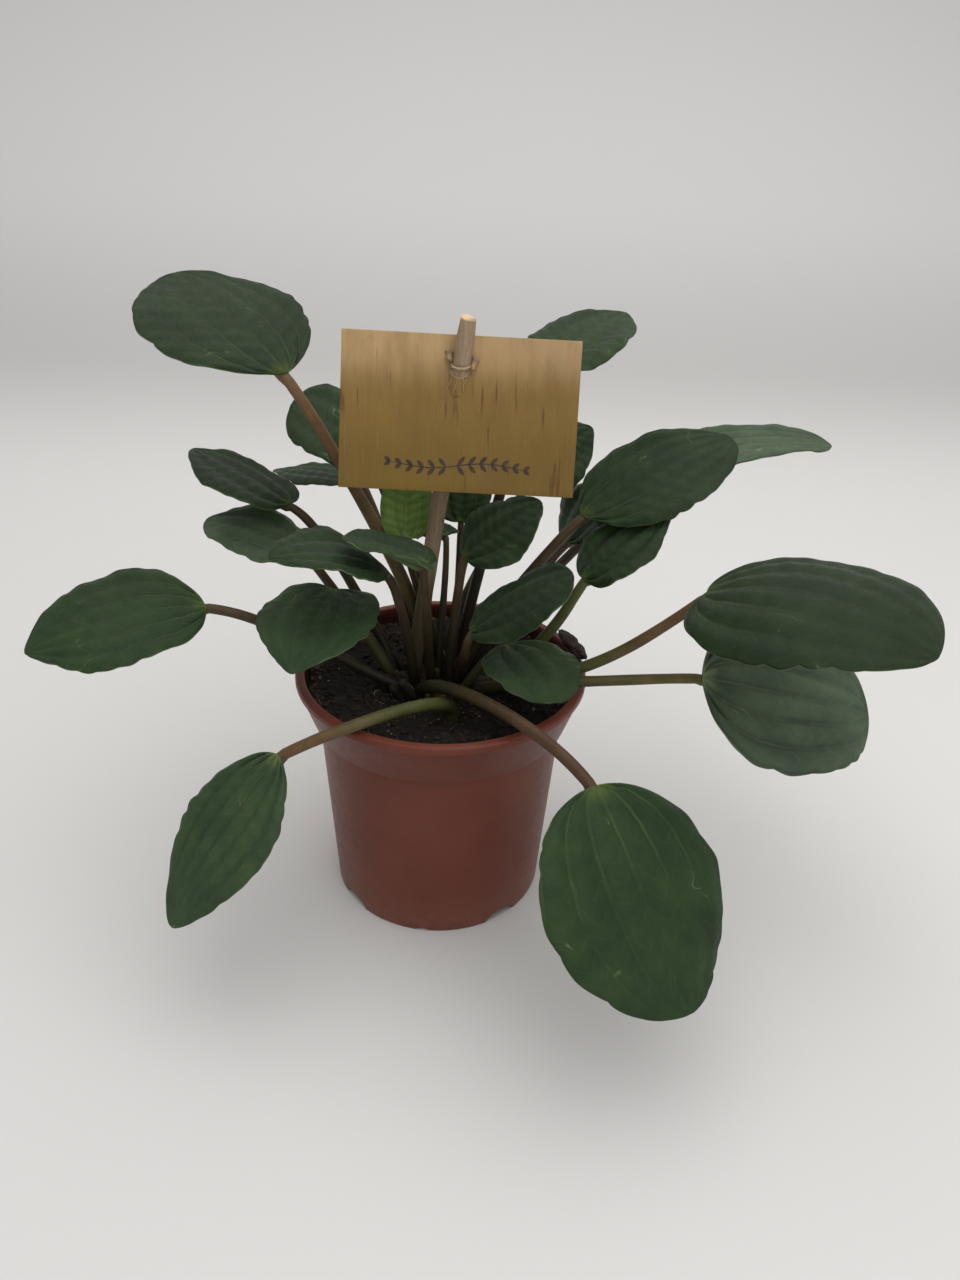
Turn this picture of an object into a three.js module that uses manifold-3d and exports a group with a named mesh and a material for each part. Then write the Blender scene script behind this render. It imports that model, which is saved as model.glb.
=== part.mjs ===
// Ripple peperomia in a plastic nursery pot, with a wooden label card on a stake.
// Units are millimetres, +Z is up and the floor under the pot is z = 0. The pot's axis is
// x = y = 0, and the plain side of the label card looks towards -Y.
import * as THREE from "three";
import { mergeVertices } from "three/addons/utils/BufferGeometryUtils.js";
import Module from "manifold-3d";

const wasm = await Module();
wasm.setup();
const { Manifold, Mesh } = wasm;

// ---------------------------------------------------------------- driving dimensions
const GAP = 0.3;                 // air between two solids that touch on the real plant
const UP = new THREE.Vector3(0, 0, 1);
const deg = THREE.MathUtils.degToRad;

const POT = {
  height: 105,
  lipRadius: 60,                 // 12 cm nursery pot, measured over the lip
  lipWidth: 4,
  bandTop: 101,                  // the flared band under the lip
  bandBottom: 84,
  bandBottomRadius: 53.4,
  bodyTopRadius: 51,
  baseRadius: 45.5,
  wall: 1.4,
  footRadius: 29,                // flat disc that the pot stands on, level with the skirt
  floorLift: 4.2,                // raised ring of the floor between the disc and the skirt
  notches: 8,                    // drainage arches through the skirt, by turns wide and small
  notchWidth: 15,
  smallNotchWidth: 5,
  notchTurn: 37,                 // bearing of the first arch, degrees
  drainHole: 3.2,                // radius of the holes in the raised ring
  drainRadius: 37,
  sides: 28,
};
const SOIL = { top: 99.5, hollow: 4.2, rough: 0.8, rings: 5, sides: 28 };
const CROWN = { x: -2, y: 2, radius: 21, bottom: 82, top: 97.5, sides: 20 };
const STAKE = { foot: [-14, 10.5, 83], top: [7.5, -3.5, 246], radius: 3.2, sides: 14 };
const CARD = { centre: [5, -7, 213], width: 85, height: 55, thickness: 1, lean: 18.5, roll: 1.5 };
const CHIP = { at: [56, 14, 108.2], size: [13, 3.4, 2.7], turn: 109 };

const BLADE_THICKNESS = 0.9;
const VEIN_DEPTH = 0.55;         // how far the ribs sink between the raised bands
const EDGE_WAVE = 1.1;           // how far the margin lifts and falls
const PETIOLE_SIDES = 7;
const PETIOLE_STEPS = 7;
const ROOT_DEPTH = 12;           // upright foot of each petiole, sunk in the crown or soil
const SOCKET_SIDES = 8;
const JOINT = 1;                 // the petiole stops this far before the blade's base
const NECK = 1.6;                // and narrows over this length
const ROOT_LEVEL = CROWN.top + 1.5;        // where a petiole starts to lean outwards

// One row for each leaf. root is where the petiole leaves the crown, [x, y]; first and second
// are its two curve handles; base and tip are the ends of the blade's midrib. roll turns the
// blade about the midrib, bend is the whole turn of the midrib (negative droops) and cup the
// turn from edge to midrib (positive lifts the edges), all in degrees. lobe is how far the
// base reaches back past the joint, ovate how far the widest part sits towards the base and
// taper the share of its width that the tip loses. skew makes the half on the side of share 1
// wider and the other narrower by that share. stem is the petiole's radius at the crown and at
// the blade.
const BIG = { columns: 12, rows: 9 };
const SMALL = { columns: 8, rows: 7 };
const LEAVES = [
  { name: "low_left", grid: BIG, root: [-17.4, -7.3], first: [-36, -7, 108],
    second: [-62, -14, 132], base: [-91, -15, 139], tip: [-150, -38, 132],
    width: 57, roll: -13, bend: -36, cup: 0, lobe: 0, ovate: -0.04, taper: 0.2,
    stem: [2.4, 1.9] },
  { name: "left_round", grid: BIG, root: [-19.6, -1.9], first: [-28, -1, 115],
    second: [-38, 2, 130], base: [-43, -2, 140], tip: [-54, -48, 129],
    width: 48, roll: -1, bend: -24, cup: 0, lobe: 0.26, ovate: -0.06, taper: 0.49,
    stem: [2.4, 2] },
  { name: "front_left", grid: BIG, root: [5, -27], first: [4, -27, 110],
    second: [-23, -58, 118], base: [-60, -55, 98], tip: [-95, -85, 53],
    width: 44, roll: -5, bend: -15, cup: 2, lobe: -0.07, ovate: 0.05, taper: -0.1, skew: 0.09,
    stem: [2.7, 2.1] },
  { name: "front_right", grid: BIG, root: [-8, -11], first: [-5, -19, 112],
    second: [27, -56, 123], base: [55, -76, 101], tip: [81, -130, 46],
    width: 80, roll: -9, bend: -26, cup: -9, lobe: 0, ovate: 0.05, taper: 0.2,
    stem: [2.8, 2.3] },
  { name: "right_low", grid: BIG, root: [12.2, -9.1], first: [26, -18, 108],
    second: [72, -22, 112], base: [104, -20, 113], tip: [178, -13, 92],
    width: 69, roll: 35, bend: -12, cup: 0, lobe: -0.05, ovate: 0.19, taper: -0.09,
    stem: [2.5, 2] },
  { name: "right_big", grid: BIG, root: [14.2, -3.6], first: [34, -9, 102],
    second: [66, -18, 110], base: [99, -25, 153], tip: [166, -74, 158],
    width: 84, roll: 8, bend: -56, cup: -26, lobe: 0.2, ovate: 0.02, taper: 0.13, skew: 0.07,
    stem: [2.8, 2] },
  { name: "top_left", grid: BIG, root: [-4, 14], first: [-10, 17, 130],
    second: [-38, 20, 180], base: [-59, 14, 221], tip: [-105, 50, 249],
    width: 72, roll: -4, bend: -25, cup: 0, lobe: -0.1, ovate: 0.03, taper: 0.3, skew: 0.11,
    stem: [3.2, 2.1] },
  { name: "back_left", grid: SMALL, root: [-5, 20.2], first: [-4, 28, 125],
    second: [-24, 40, 160], base: [-32, 42, 184], tip: [-62, 44, 201],
    width: 46, roll: -22, bend: -26, cup: 8, lobe: 0.13, ovate: -0.08, taper: 0, skew: 0.06,
    stem: [2.3, 1.8] },
  { name: "left_upper", grid: SMALL, root: [-20, 10.4], first: [-30, 16, 118],
    second: [-49, 34, 150], base: [-64, 34, 162], tip: [-106, 53, 178],
    width: 43, roll: 7, bend: -18, cup: 0, lobe: 0.08, ovate: 0.13, taper: 0.27, skew: 0.17,
    stem: [2.3, 1.8] },
  { name: "left_middle", grid: SMALL, root: [-19.9, 4.4], first: [-30, 8, 112],
    second: [-46, 18, 132], base: [-58, 20, 148], tip: [-97, 24, 157],
    width: 41, roll: -5, bend: -30, cup: 0, lobe: 0.11, ovate: 0.01, taper: 0.13,
    stem: [2.3, 1.8] },
  { name: "left_inner", grid: SMALL, root: [-11, -4.5], first: [-13, -7, 120],
    second: [-16, -8, 138], base: [-21, -10, 152], tip: [-62, -30, 166],
    width: 42, roll: -4, bend: -50, cup: 0, lobe: -0.08, ovate: 0.14, taper: 0.32, skew: -0.13,
    stem: [2.2, 1.8] },
  { name: "front_inner", grid: SMALL, root: [-4, -6], first: [-5, -9, 120],
    second: [-7, -21, 146], base: [-7, -22, 162], tip: [-37, -20, 170],
    width: 31, roll: 13, bend: -5, cup: 20, lobe: 0.5, ovate: -0.14, taper: 0.15, skew: -0.21,
    stem: [2, 1.6] },
  { name: "back_low_left", grid: SMALL, root: [-11, 17.5], first: [-12, 28, 118],
    second: [-28, 50, 146], base: [-36, 58, 164], tip: [-76, 74, 162],
    width: 37, roll: 7, bend: -19, cup: -4, lobe: 0.18, ovate: 0.15, stem: [2.2, 1.8] },
  { name: "young_upright", grid: SMALL, root: [0, 9], first: [-3, 12, 120],
    second: [-15, 15, 138], base: [-15, 15, 156], tip: [-15, 30, 185],
    width: 22, roll: 0, bend: -10, cup: 14, stem: [1.7, 1.3] },
  { name: "young_back", grid: SMALL, root: [5, 12], first: [6, 16, 120],
    second: [7, 26, 140], base: [7, 28, 158], tip: [10, 42, 184],
    width: 25, roll: 0, bend: -10, cup: 10, stem: [1.7, 1.3] },
  { name: "centre_right", grid: SMALL, root: [3, -2], first: [4, 0, 118],
    second: [6, 3, 136], base: [8, 4, 153], tip: [38, 10, 174],
    width: 36, roll: 19, bend: -15, cup: 7, lobe: 0, ovate: 0.04, taper: 0.38, skew: -0.11,
    stem: [2.2, 1.8] },
  { name: "young_centre", grid: SMALL, root: [-1, 3], first: [-1, 6, 120],
    second: [2, 13, 140], base: [1, 16, 157], tip: [-9, 33, 152],
    width: 18, roll: 0, bend: -20, cup: 0, stem: [1.6, 1.2] },
  { name: "right_upper", grid: BIG, root: [9, 0], first: [14, 2, 122],
    second: [40, 10, 150], base: [55, 12, 168], tip: [118, 40, 192],
    width: 47, roll: 17, bend: -26, cup: 3, lobe: -0.08, ovate: 0.11, taper: 0.21, skew: -0.1,
    stem: [2.4, 1.9] },
  { name: "back_right_low", grid: SMALL, root: [14.9, 8.2], first: [22, 12, 115],
    second: [42, 26, 136], base: [52, 32, 148], tip: [72, 42, 175],
    width: 43, roll: -10, bend: -21, cup: -5, lobe: 0, ovate: 0.03, taper: 0.23, skew: 0.06,
    stem: [2.2, 1.8] },
  { name: "far_right_top", grid: BIG, root: [11.8, 13.6], first: [22, 24, 112],
    second: [68, 60, 138], base: [92, 74, 164], tip: [169, 62, 183],
    width: 57, roll: 0, bend: -39, cup: 11, lobe: 0.17, ovate: 0.09, taper: 0.18,
    stem: [2.5, 1.9] },
  { name: "top_right", grid: SMALL, root: [7, 17.6], first: [16, 30, 140],
    second: [28, 36, 190], base: [37, 36, 222], tip: [72, 61, 237],
    width: 44, roll: 4, bend: -20, cup: 4, lobe: 0.1, ovate: 0.13, taper: 0.24, skew: -0.14,
    stem: [2.5, 1.9] },
  { name: "back_right_small", grid: SMALL, root: [1.6, 19.8], first: [5, 32, 120],
    second: [30, 54, 150], base: [40, 62, 170], tip: [64, 66, 187],
    width: 43, roll: 26, bend: -20, cup: 0, lobe: 0.1, ovate: 0.25, taper: 0.4,
    stem: [2.1, 1.7] },
  { name: "right_middle", grid: SMALL, root: [16, 2], first: [34, 1, 103],
    second: [49, -4, 128], base: [55, -6, 149], tip: [88, 7, 170],
    width: 35, roll: 3, bend: -33, cup: 4, lobe: 0.07, ovate: 0.09, taper: 0.27, skew: -0.05,
    stem: [2.6, 2] },
  { name: "front_right_inner", grid: SMALL, root: [8, -6], first: [9, -10, 112],
    second: [8, -24, 122], base: [11, -25, 135], tip: [48, -24, 159],
    width: 34, roll: 11, bend: -19, cup: -14, lobe: 0.1, ovate: -0.18, taper: 0.09,
    stem: [2, 1.6] },
  { name: "front_right_low", grid: SMALL, root: [7.8, -13], first: [12, -14, 108],
    second: [18, -14, 118], base: [26, -16, 124], tip: [45, -46, 117],
    width: 41, roll: -3, bend: -29, cup: 0, lobe: 0.07, ovate: 0.04, taper: 0.2,
    stem: [2.1, 1.7] },
];
const YOUNGEST = "young_upright";      // its blade is still bright green

// ---------------------------------------------------------------- colours
const finish = (color, roughness) => new THREE.MeshStandardMaterial({ color, roughness });
const MATERIALS = {
  pot: finish(0x7a4334, 0.5),
  soil: finish(0x1b1714, 0.95),
  crown: finish(0x3a2a20, 0.85),
  blade: finish(0x38513a, 0.45),
  youngBlade: finish(0x557a33, 0.45),
  petiole: finish(0x6b5a3a, 0.5),
  stake: finish(0xb59c7c, 0.8),
  card: finish(0xa58652, 0.7),
  chip: finish(0x33231f, 0.9),
};

const group = new THREE.Group();
group.name = "ripple_peperomia_in_pot";

// ---------------------------------------------------------------- helpers
/** Adds one closed mesh to the part under its node name. */
function addNode(name, geometry, material) {
  const mesh = new THREE.Mesh(geometry, material);
  mesh.name = name;
  group.add(mesh);
}

/** A BufferGeometry from a flat list of points and a flat list of corner numbers. */
function makeGeometry(points, corners) {
  const geometry = new THREE.BufferGeometry();
  geometry.setAttribute("position", new THREE.Float32BufferAttribute(points, 3));
  geometry.setIndex(corners);
  return geometry;
}

/** The closed solid inside a geometry's triangles, ready to be cut. */
function toSolid(geometry) {
  geometry.deleteAttribute("normal");
  geometry.deleteAttribute("uv");
  const merged = mergeVertices(geometry);
  const index = merged.index.array;
  const corners = [];
  for (let i = 0; i < index.length; i += 3) {
    const [a, b, c] = index.slice(i, i + 3);
    if (a !== b && b !== c && c !== a) corners.push(a, b, c);
  }
  const vertProperties = new Float32Array(merged.attributes.position.array);
  return new Manifold(new Mesh({ numProp: 3, vertProperties, triVerts: new Uint32Array(corners) }));
}

function toGeometry(solid) {
  const mesh = solid.getMesh();
  return makeGeometry(Array.from(mesh.vertProperties), Array.from(mesh.triVerts));
}

/** Turns a [radius, height] outline, from the axis round to the axis, about the Z axis. */
function revolve(outline, sides) {
  const profile = outline.map(([radius, height]) => new THREE.Vector2(radius, height));
  return new THREE.LatheGeometry(profile, sides).rotateX(Math.PI / 2);
}

/** An upright cylinder that stands on z = 0. */
function cylinder(radius, height, sides) {
  return new THREE.CylinderGeometry(radius, radius, height, sides)
    .rotateX(Math.PI / 2).translate(0, 0, height / 2);
}

/** Repeatable unevenness between -1 and 1, from a place on the plane. */
function unevenness(x, y) {
  return 0.5 * Math.sin(0.61 * x + 1.3 * Math.sin(0.23 * y))
    + 0.5 * Math.sin(0.53 * y + 1.1 * Math.sin(0.31 * x) + 2);
}

/** Closed tube through a list of centres, with a radius for each centre. */
function tube(centres, radii, sides) {
  const points = [];
  const corners = [];
  const axisAt = (i) => {
    const before = centres[Math.max(i - 1, 0)];
    const after = centres[Math.min(i + 1, centres.length - 1)];
    return after.clone().sub(before).normalize();
  };
  let axis = axisAt(0);
  let side = new THREE.Vector3(1, 0, 0);
  for (let i = 0; i < centres.length; i++) {
    const next = axisAt(i);
    side.applyQuaternion(new THREE.Quaternion().setFromUnitVectors(axis, next));
    axis = next;
    side.addScaledVector(axis, -side.dot(axis)).normalize();
    const other = new THREE.Vector3().crossVectors(axis, side);
    for (let k = 0; k < sides; k++) {
      const turn = (2 * Math.PI * k) / sides;
      const point = centres[i].clone()
        .addScaledVector(side, radii[i] * Math.cos(turn))
        .addScaledVector(other, radii[i] * Math.sin(turn));
      points.push(point.x, point.y, point.z);
    }
  }
  for (let i = 0; i + 1 < centres.length; i++) {
    for (let k = 0; k < sides; k++) {
      const a = i * sides + k;
      const b = i * sides + ((k + 1) % sides);
      corners.push(a, b, b + sides, a, b + sides, a + sides);
    }
  }
  const last = (centres.length - 1) * sides;
  for (let k = 1; k + 1 < sides; k++) {
    corners.push(0, k + 1, k);
    corners.push(last, last + k, last + k + 1);
  }
  return makeGeometry(points, corners);
}

// ---------------------------------------------------------------- leaf blades
/** The frame of a blade's midrib: an arc from base to tip that turns by bend. */
function midribFrame(leaf) {
  const base = new THREE.Vector3(...leaf.base);
  const chord = new THREE.Vector3(...leaf.tip).sub(base);
  const span = chord.length();
  const ahead = chord.normalize();
  const level = new THREE.Vector3().crossVectors(UP, ahead).normalize();
  const rolled = level.clone().applyAxisAngle(ahead, deg(leaf.roll));
  const face = new THREE.Vector3().crossVectors(ahead, rolled);
  const bend = deg(leaf.bend);
  ahead.applyAxisAngle(rolled, bend / 2);
  face.applyAxisAngle(rolled, bend / 2);
  return { base, ahead, across: rolled, face, bend, length: (span * bend / 2) / Math.sin(bend / 2) };
}

/**
 * A point of the blade and the way out of its upper face. share runs from -1 at the left
 * margin over the midrib at 0 to 1 at the right margin; sweep runs from 0 at the joint to
 * pi at the tip. The lines of equal share are the veins: they part at the joint and meet
 * at the tip.
 */
function bladePoint(leaf, frame, share, sweep, seed) {
  const { lobe = 0.15, ovate = 0.12, taper = 0.25, skew = 0, width, grid } = leaf;
  const along = (1 - Math.cos(sweep)) / 2;
  const back = lobe * Math.abs(share) ** 1.5 * Math.sin(sweep) * ((1 + Math.cos(sweep)) / 2) ** 2;
  const fullness = (1 + ovate * Math.cos(sweep)) * (1 - taper * along ** 3);
  const out = share * (1 + skew * share) * Math.sin(sweep) * fullness;
  const turn = frame.bend * (along - back);
  const radius = frame.length / frame.bend;
  const cup = deg(leaf.cup);
  const curved = Math.abs(cup) > 1e-3;
  const sideways = curved ? (width / 2) * Math.sin(cup * out) / cup : (width / 2) * out;
  const lift = curved ? (width / 2) * (1 - Math.cos(cup * out)) / cup : 0;
  const face = frame.face.clone().multiplyScalar(Math.cos(turn))
    .addScaledVector(frame.ahead, -Math.sin(turn));
  const open = Math.sin(sweep);
  const rib = -VEIN_DEPTH * Math.cos(Math.PI * share * grid.columns / 2) * Math.sqrt(open);
  const wave = EDGE_WAVE * open * share * share * Math.sin(4.2 * sweep + 2.4 * share + seed);
  const point = frame.base.clone()
    .addScaledVector(frame.ahead, radius * Math.sin(turn))
    .addScaledVector(frame.face, radius * (1 - Math.cos(turn)))
    .addScaledVector(frame.across, sideways)
    .addScaledVector(face, lift + rib + wave);
  const normal = face.multiplyScalar(Math.cos(cup * out))
    .addScaledVector(frame.across, -Math.sin(cup * out));
  return { point, normal };
}

/** A blade: the same net of triangles on the upper and the lower face, joined at the margin. */
function bladeGeometry(leaf, seed) {
  const { columns, rows } = leaf.grid;
  const frame = midribFrame(leaf);
  const points = [];
  const put = (share, sweep, side) => {
    const { point, normal } = bladePoint(leaf, frame, share, sweep, seed);
    point.addScaledVector(normal, side * BLADE_THICKNESS / 2);
    points.push(point.x, point.y, point.z);
    return points.length / 3 - 1;
  };
  const corners = [];
  const faces = [1, -1].map((side) => {
    const net = [];
    for (let i = 0; i <= rows; i++) {
      const sweep = (Math.PI * i) / rows;
      const pole = i === 0 || i === rows;
      const only = pole ? put(0, sweep, side) : null;
      net.push(Array.from({ length: columns + 1 }, (_, k) =>
        pole ? only : put((2 * k) / columns - 1, sweep, side)));
    }
    for (let i = 0; i < rows; i++) {
      for (let k = 0; k < columns; k++) {
        const [a, b] = [net[i][k], net[i][k + 1]];
        const [c, d] = [net[i + 1][k + 1], net[i + 1][k]];
        const triangles = [];
        const mirrored = k < columns / 2;        // the diagonals fan away from the midrib
        if (mirrored) triangles.push([a, b, d], [b, c, d]);
        else triangles.push([a, b, c], [a, c, d]);
        for (const [p, q, r] of triangles) {
          if (p === q || q === r || r === p) continue;
          if (side > 0) corners.push(p, r, q);
          else corners.push(p, q, r);
        }
      }
    }
    return net;
  });
  const [upper, lower] = faces;
  for (let i = 0; i < rows; i++) {
    for (const k of [0, columns]) {
      const rim = [upper[i][k], upper[i + 1][k], lower[i + 1][k], lower[i][k]];
      if (k === 0) rim.reverse();
      const [a, b, c, d] = rim;
      corners.push(a, b, c, a, c, d);
    }
  }
  return makeGeometry(points, corners);
}

// ---------------------------------------------------------------- petioles
/** A petiole's arc, from the top of the crown to the base of its blade. */
function petioleCurve(leaf) {
  const start = new THREE.Vector3(...leaf.root, ROOT_LEVEL);
  const handles = [leaf.first, leaf.second, leaf.base].map((p) => new THREE.Vector3(...p));
  return new THREE.CubicBezierCurve3(start, ...handles);
}

function petioleGeometry(leaf) {
  const curve = petioleCurve(leaf);
  const length = curve.getLength();
  const [thick, thin] = leaf.stem;
  const centres = [new THREE.Vector3(...leaf.root, CROWN.top - ROOT_DEPTH)];
  const radii = [thick];
  const neck = 1 - (JOINT + NECK) / length;
  for (let i = 0; i <= PETIOLE_STEPS; i++) {
    const share = (neck * i) / PETIOLE_STEPS;
    centres.push(curve.getPointAt(share));
    radii.push(THREE.MathUtils.lerp(thick, thin, share));
  }
  centres.push(curve.getPointAt(1 - JOINT / length));
  radii.push(thin * 0.5);
  return tube(centres, radii, PETIOLE_SIDES);
}

/** The plain upright hole that a petiole's foot stands in. */
function petioleSocket(leaf) {
  const radius = leaf.stem[0] + GAP + 0.1;
  const hole = cylinder(radius, ROOT_DEPTH + 12, SOCKET_SIDES);
  return toSolid(hole.translate(...leaf.root, CROWN.top - ROOT_DEPTH - GAP));
}

// ---------------------------------------------------------------- pot
function potSolid() {
  const { height, wall, lipRadius, lipWidth, bandTop, bandBottom, floorLift } = POT;
  const skirt = POT.baseRadius - 1.6;
  const outline = [
    [0, 0], [POT.footRadius, 0], [POT.footRadius + 2, floorLift], [skirt - 1, floorLift],
    [skirt, 0], [POT.baseRadius - 0.4, 0], [POT.baseRadius, 1],
    [POT.bodyTopRadius, bandBottom - 1], [POT.bandBottomRadius - 0.4, bandBottom],
    [POT.bandBottomRadius, bandBottom + 1], [lipRadius - 1, bandTop], [lipRadius, bandTop + 1],
    [lipRadius, height - 0.7], [lipRadius - 0.7, height], [lipRadius - lipWidth + 0.6, height],
    [lipRadius - lipWidth, height - 0.8], [lipRadius - lipWidth, bandTop],
    [POT.bandBottomRadius - wall, bandBottom + 2], [POT.bodyTopRadius - wall, bandBottom - 1],
    [POT.baseRadius - wall - 0.2, floorLift + 3], [POT.baseRadius - wall - 1.6, floorLift + 1.8],
    [POT.footRadius + 1, floorLift + 1.8], [POT.footRadius - 1, 2], [0, 2],
  ];
  let pot = toSolid(revolve(outline, POT.sides));
  for (let i = 0; i < POT.notches; i++) {
    const bearing = deg(POT.notchTurn + (360 / POT.notches) * i);
    const width = i % 2 ? POT.smallNotchWidth : POT.notchWidth;
    const arch = new THREE.CylinderGeometry(width / 2, width / 2, 12, 10)
      .rotateZ(Math.PI / 2).scale(1, 1, 0.55).translate(POT.baseRadius, 0, 0);
    const drain = cylinder(POT.drainHole, 10, 6).translate(POT.drainRadius, 0, 0);
    pot = pot.subtract(toSolid(arch.rotateZ(bearing))).subtract(toSolid(drain.rotateZ(bearing)));
  }
  return pot;
}

/** The potting mix: it fills the pot to just under the lip, with an uneven top. */
function soilSolid() {
  const { wall, floorLift, bandBottom } = POT;
  const inner = (z) => {
    const slope = (POT.bodyTopRadius - POT.baseRadius) / (bandBottom - 2);
    return POT.baseRadius - wall - 0.2 + slope * (z - floorLift - 3) - GAP;
  };
  const bottom = floorLift + 1.8 + GAP;
  const rimShare = (SOIL.top - bandBottom - 2) / (POT.bandTop - bandBottom - 2);
  const topRadius = THREE.MathUtils.lerp(
    POT.bandBottomRadius - wall, POT.lipRadius - POT.lipWidth, rimShare) - 2 * GAP;
  const rings = [
    [POT.footRadius, bottom], [POT.baseRadius - wall - 2.2, bottom],
    [inner(floorLift + 4), floorLift + 4], [inner(bandBottom - 2), bandBottom - 2],
    [POT.bandBottomRadius - wall - 2 * GAP, bandBottom + 3], [topRadius, SOIL.top],
  ];
  const edge = rings.length - 1;
  for (let i = 1; i <= SOIL.rings; i++) {
    rings.push([topRadius * (1 - i / (SOIL.rings + 0.6)), SOIL.top]);
  }
  const points = [0, 0, bottom];
  rings.forEach(([radius, height], i) => {
    for (let k = 0; k < SOIL.sides; k++) {
      const turn = (2 * Math.PI * (k + 0.5 * (i % 2))) / SOIL.sides;
      const [x, y] = [radius * Math.cos(turn), radius * Math.sin(turn)];
      const inside = i > edge;
      const sunk = inside ? SOIL.hollow * (1 - (radius / topRadius) ** 4) : 0;
      points.push(x, y, height - sunk + (inside ? SOIL.rough * unevenness(x, y) : 0));
    }
  });
  points.push(0, 0, SOIL.top - SOIL.hollow);
  const peak = points.length / 3 - 1;
  const corners = [];
  const at = (i, k) => 1 + i * SOIL.sides + (k % SOIL.sides);
  for (let k = 0; k < SOIL.sides; k++) {
    corners.push(0, at(0, k + 1), at(0, k));
    corners.push(peak, at(rings.length - 1, k), at(rings.length - 1, k + 1));
    for (let i = 0; i + 1 < rings.length; i++) {
      const [a, b] = [at(i, k), at(i, k + 1)];
      const [c, d] = [at(i + 1, k + 1), at(i + 1, k)];
      if (i % 2 === 0) corners.push(a, b, d, b, c, d);
      else corners.push(a, b, c, a, c, d);
    }
  }
  return toSolid(makeGeometry(points, corners));
}

/** The short knobbly stem base that the petioles spring from. */
function crownSolid() {
  const { radius, bottom, top, sides } = CROWN;
  const outline = [
    [0, bottom], [radius - 4, bottom], [radius, bottom + 4], [radius, top - 1.5],
    [radius - 1.5, top], [0, top],
  ];
  return toSolid(revolve(outline, sides).translate(CROWN.x, CROWN.y, 0));
}

// ---------------------------------------------------------------- stake and label card
function stakeTube(extra) {
  const foot = new THREE.Vector3(...STAKE.foot);
  const top = new THREE.Vector3(...STAKE.top);
  const along = top.clone().sub(foot).normalize();
  foot.addScaledVector(along, -extra);
  const shoulder = top.clone().addScaledVector(along, -0.6);
  const r = STAKE.radius + extra;
  return tube([foot, shoulder, top], [r, r, r - 0.6], STAKE.sides);
}

function cardSolid() {
  const { width, height, thickness, centre, lean, roll } = CARD;
  const sheet = new THREE.BoxGeometry(width, thickness, height);
  return toSolid(sheet.rotateY(deg(roll)).rotateX(deg(-lean)).translate(...centre));
}

/** A chip of bark that lies along the pot's lip. */
function chipSolid() {
  const geometry = new THREE.IcosahedronGeometry(1, 2);
  const place = geometry.attributes.position;
  const points = [];
  for (let i = 0; i < place.count; i++) {
    const p = new THREE.Vector3().fromBufferAttribute(place, i);
    p.multiplyScalar(1 + 0.16 * unevenness(6 * p.x + 3, 7 * p.y + 4 * p.z));
    points.push(p.x * CHIP.size[0], p.y * CHIP.size[1], p.z * CHIP.size[2]);
  }
  const corners = Array.from({ length: place.count }, (_, i) => i);
  const chip = makeGeometry(points, corners).rotateX(deg(12)).rotateZ(deg(CHIP.turn));
  return toSolid(chip.translate(...CHIP.at));
}

// ---------------------------------------------------------------- build
let soil = soilSolid();
let crown = crownSolid();
const crownHole = cylinder(CROWN.radius + GAP, 2 * (CROWN.top - CROWN.bottom), CROWN.sides);
soil = soil.subtract(toSolid(crownHole.translate(CROWN.x, CROWN.y, CROWN.bottom - GAP)));
for (const leaf of LEAVES) {
  const socket = petioleSocket(leaf);
  soil = soil.subtract(socket);
  crown = crown.subtract(socket);
}
const stakeHole = toSolid(stakeTube(GAP));
soil = soil.subtract(stakeHole);
crown = crown.subtract(stakeHole);

addNode("pot", toGeometry(potSolid()), MATERIALS.pot);
addNode("soil", toGeometry(soil), MATERIALS.soil);
addNode("crown", toGeometry(crown), MATERIALS.crown);
LEAVES.forEach((leaf, i) => {
  addNode(`petiole_${leaf.name}`, petioleGeometry(leaf), MATERIALS.petiole);
  const blade = leaf.name === YOUNGEST ? MATERIALS.youngBlade : MATERIALS.blade;
  addNode(`blade_${leaf.name}`, bladeGeometry(leaf, 1.7 * i), blade);
});
addNode("label_stake", stakeTube(0), MATERIALS.stake);
addNode("label_card", toGeometry(cardSolid().subtract(stakeHole)), MATERIALS.card);
addNode("bark_chip", toGeometry(chipSolid()), MATERIALS.chip);

export default group;
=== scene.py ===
# %% [markdown]
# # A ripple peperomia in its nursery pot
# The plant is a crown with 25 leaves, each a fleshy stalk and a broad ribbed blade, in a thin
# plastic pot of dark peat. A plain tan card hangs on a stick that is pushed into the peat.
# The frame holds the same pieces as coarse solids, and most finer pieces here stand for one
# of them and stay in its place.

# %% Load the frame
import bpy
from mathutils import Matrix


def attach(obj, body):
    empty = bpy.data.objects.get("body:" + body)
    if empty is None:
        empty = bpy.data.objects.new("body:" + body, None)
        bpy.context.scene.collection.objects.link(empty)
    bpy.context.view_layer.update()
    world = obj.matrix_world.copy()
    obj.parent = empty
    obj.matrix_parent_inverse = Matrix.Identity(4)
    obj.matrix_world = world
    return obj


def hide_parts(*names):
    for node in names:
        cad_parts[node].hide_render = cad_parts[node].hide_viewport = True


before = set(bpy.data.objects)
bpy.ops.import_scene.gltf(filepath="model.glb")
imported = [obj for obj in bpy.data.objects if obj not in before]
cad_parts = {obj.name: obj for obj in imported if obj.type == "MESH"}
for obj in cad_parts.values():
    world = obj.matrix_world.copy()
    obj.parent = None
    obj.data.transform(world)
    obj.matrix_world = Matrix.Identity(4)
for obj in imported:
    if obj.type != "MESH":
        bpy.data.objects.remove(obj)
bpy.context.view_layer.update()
print("solids:", len(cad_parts))

# %% Tools
import math
import random
import bmesh
import bpy
from mathutils import Matrix, Vector, noise

MM = 0.001                       # the values below are millimetres, Blender's are metres
UP = Vector((0, 0, 1))
scene = bpy.context.scene
print("a millimetre is", MM, "of Blender's units")

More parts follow.
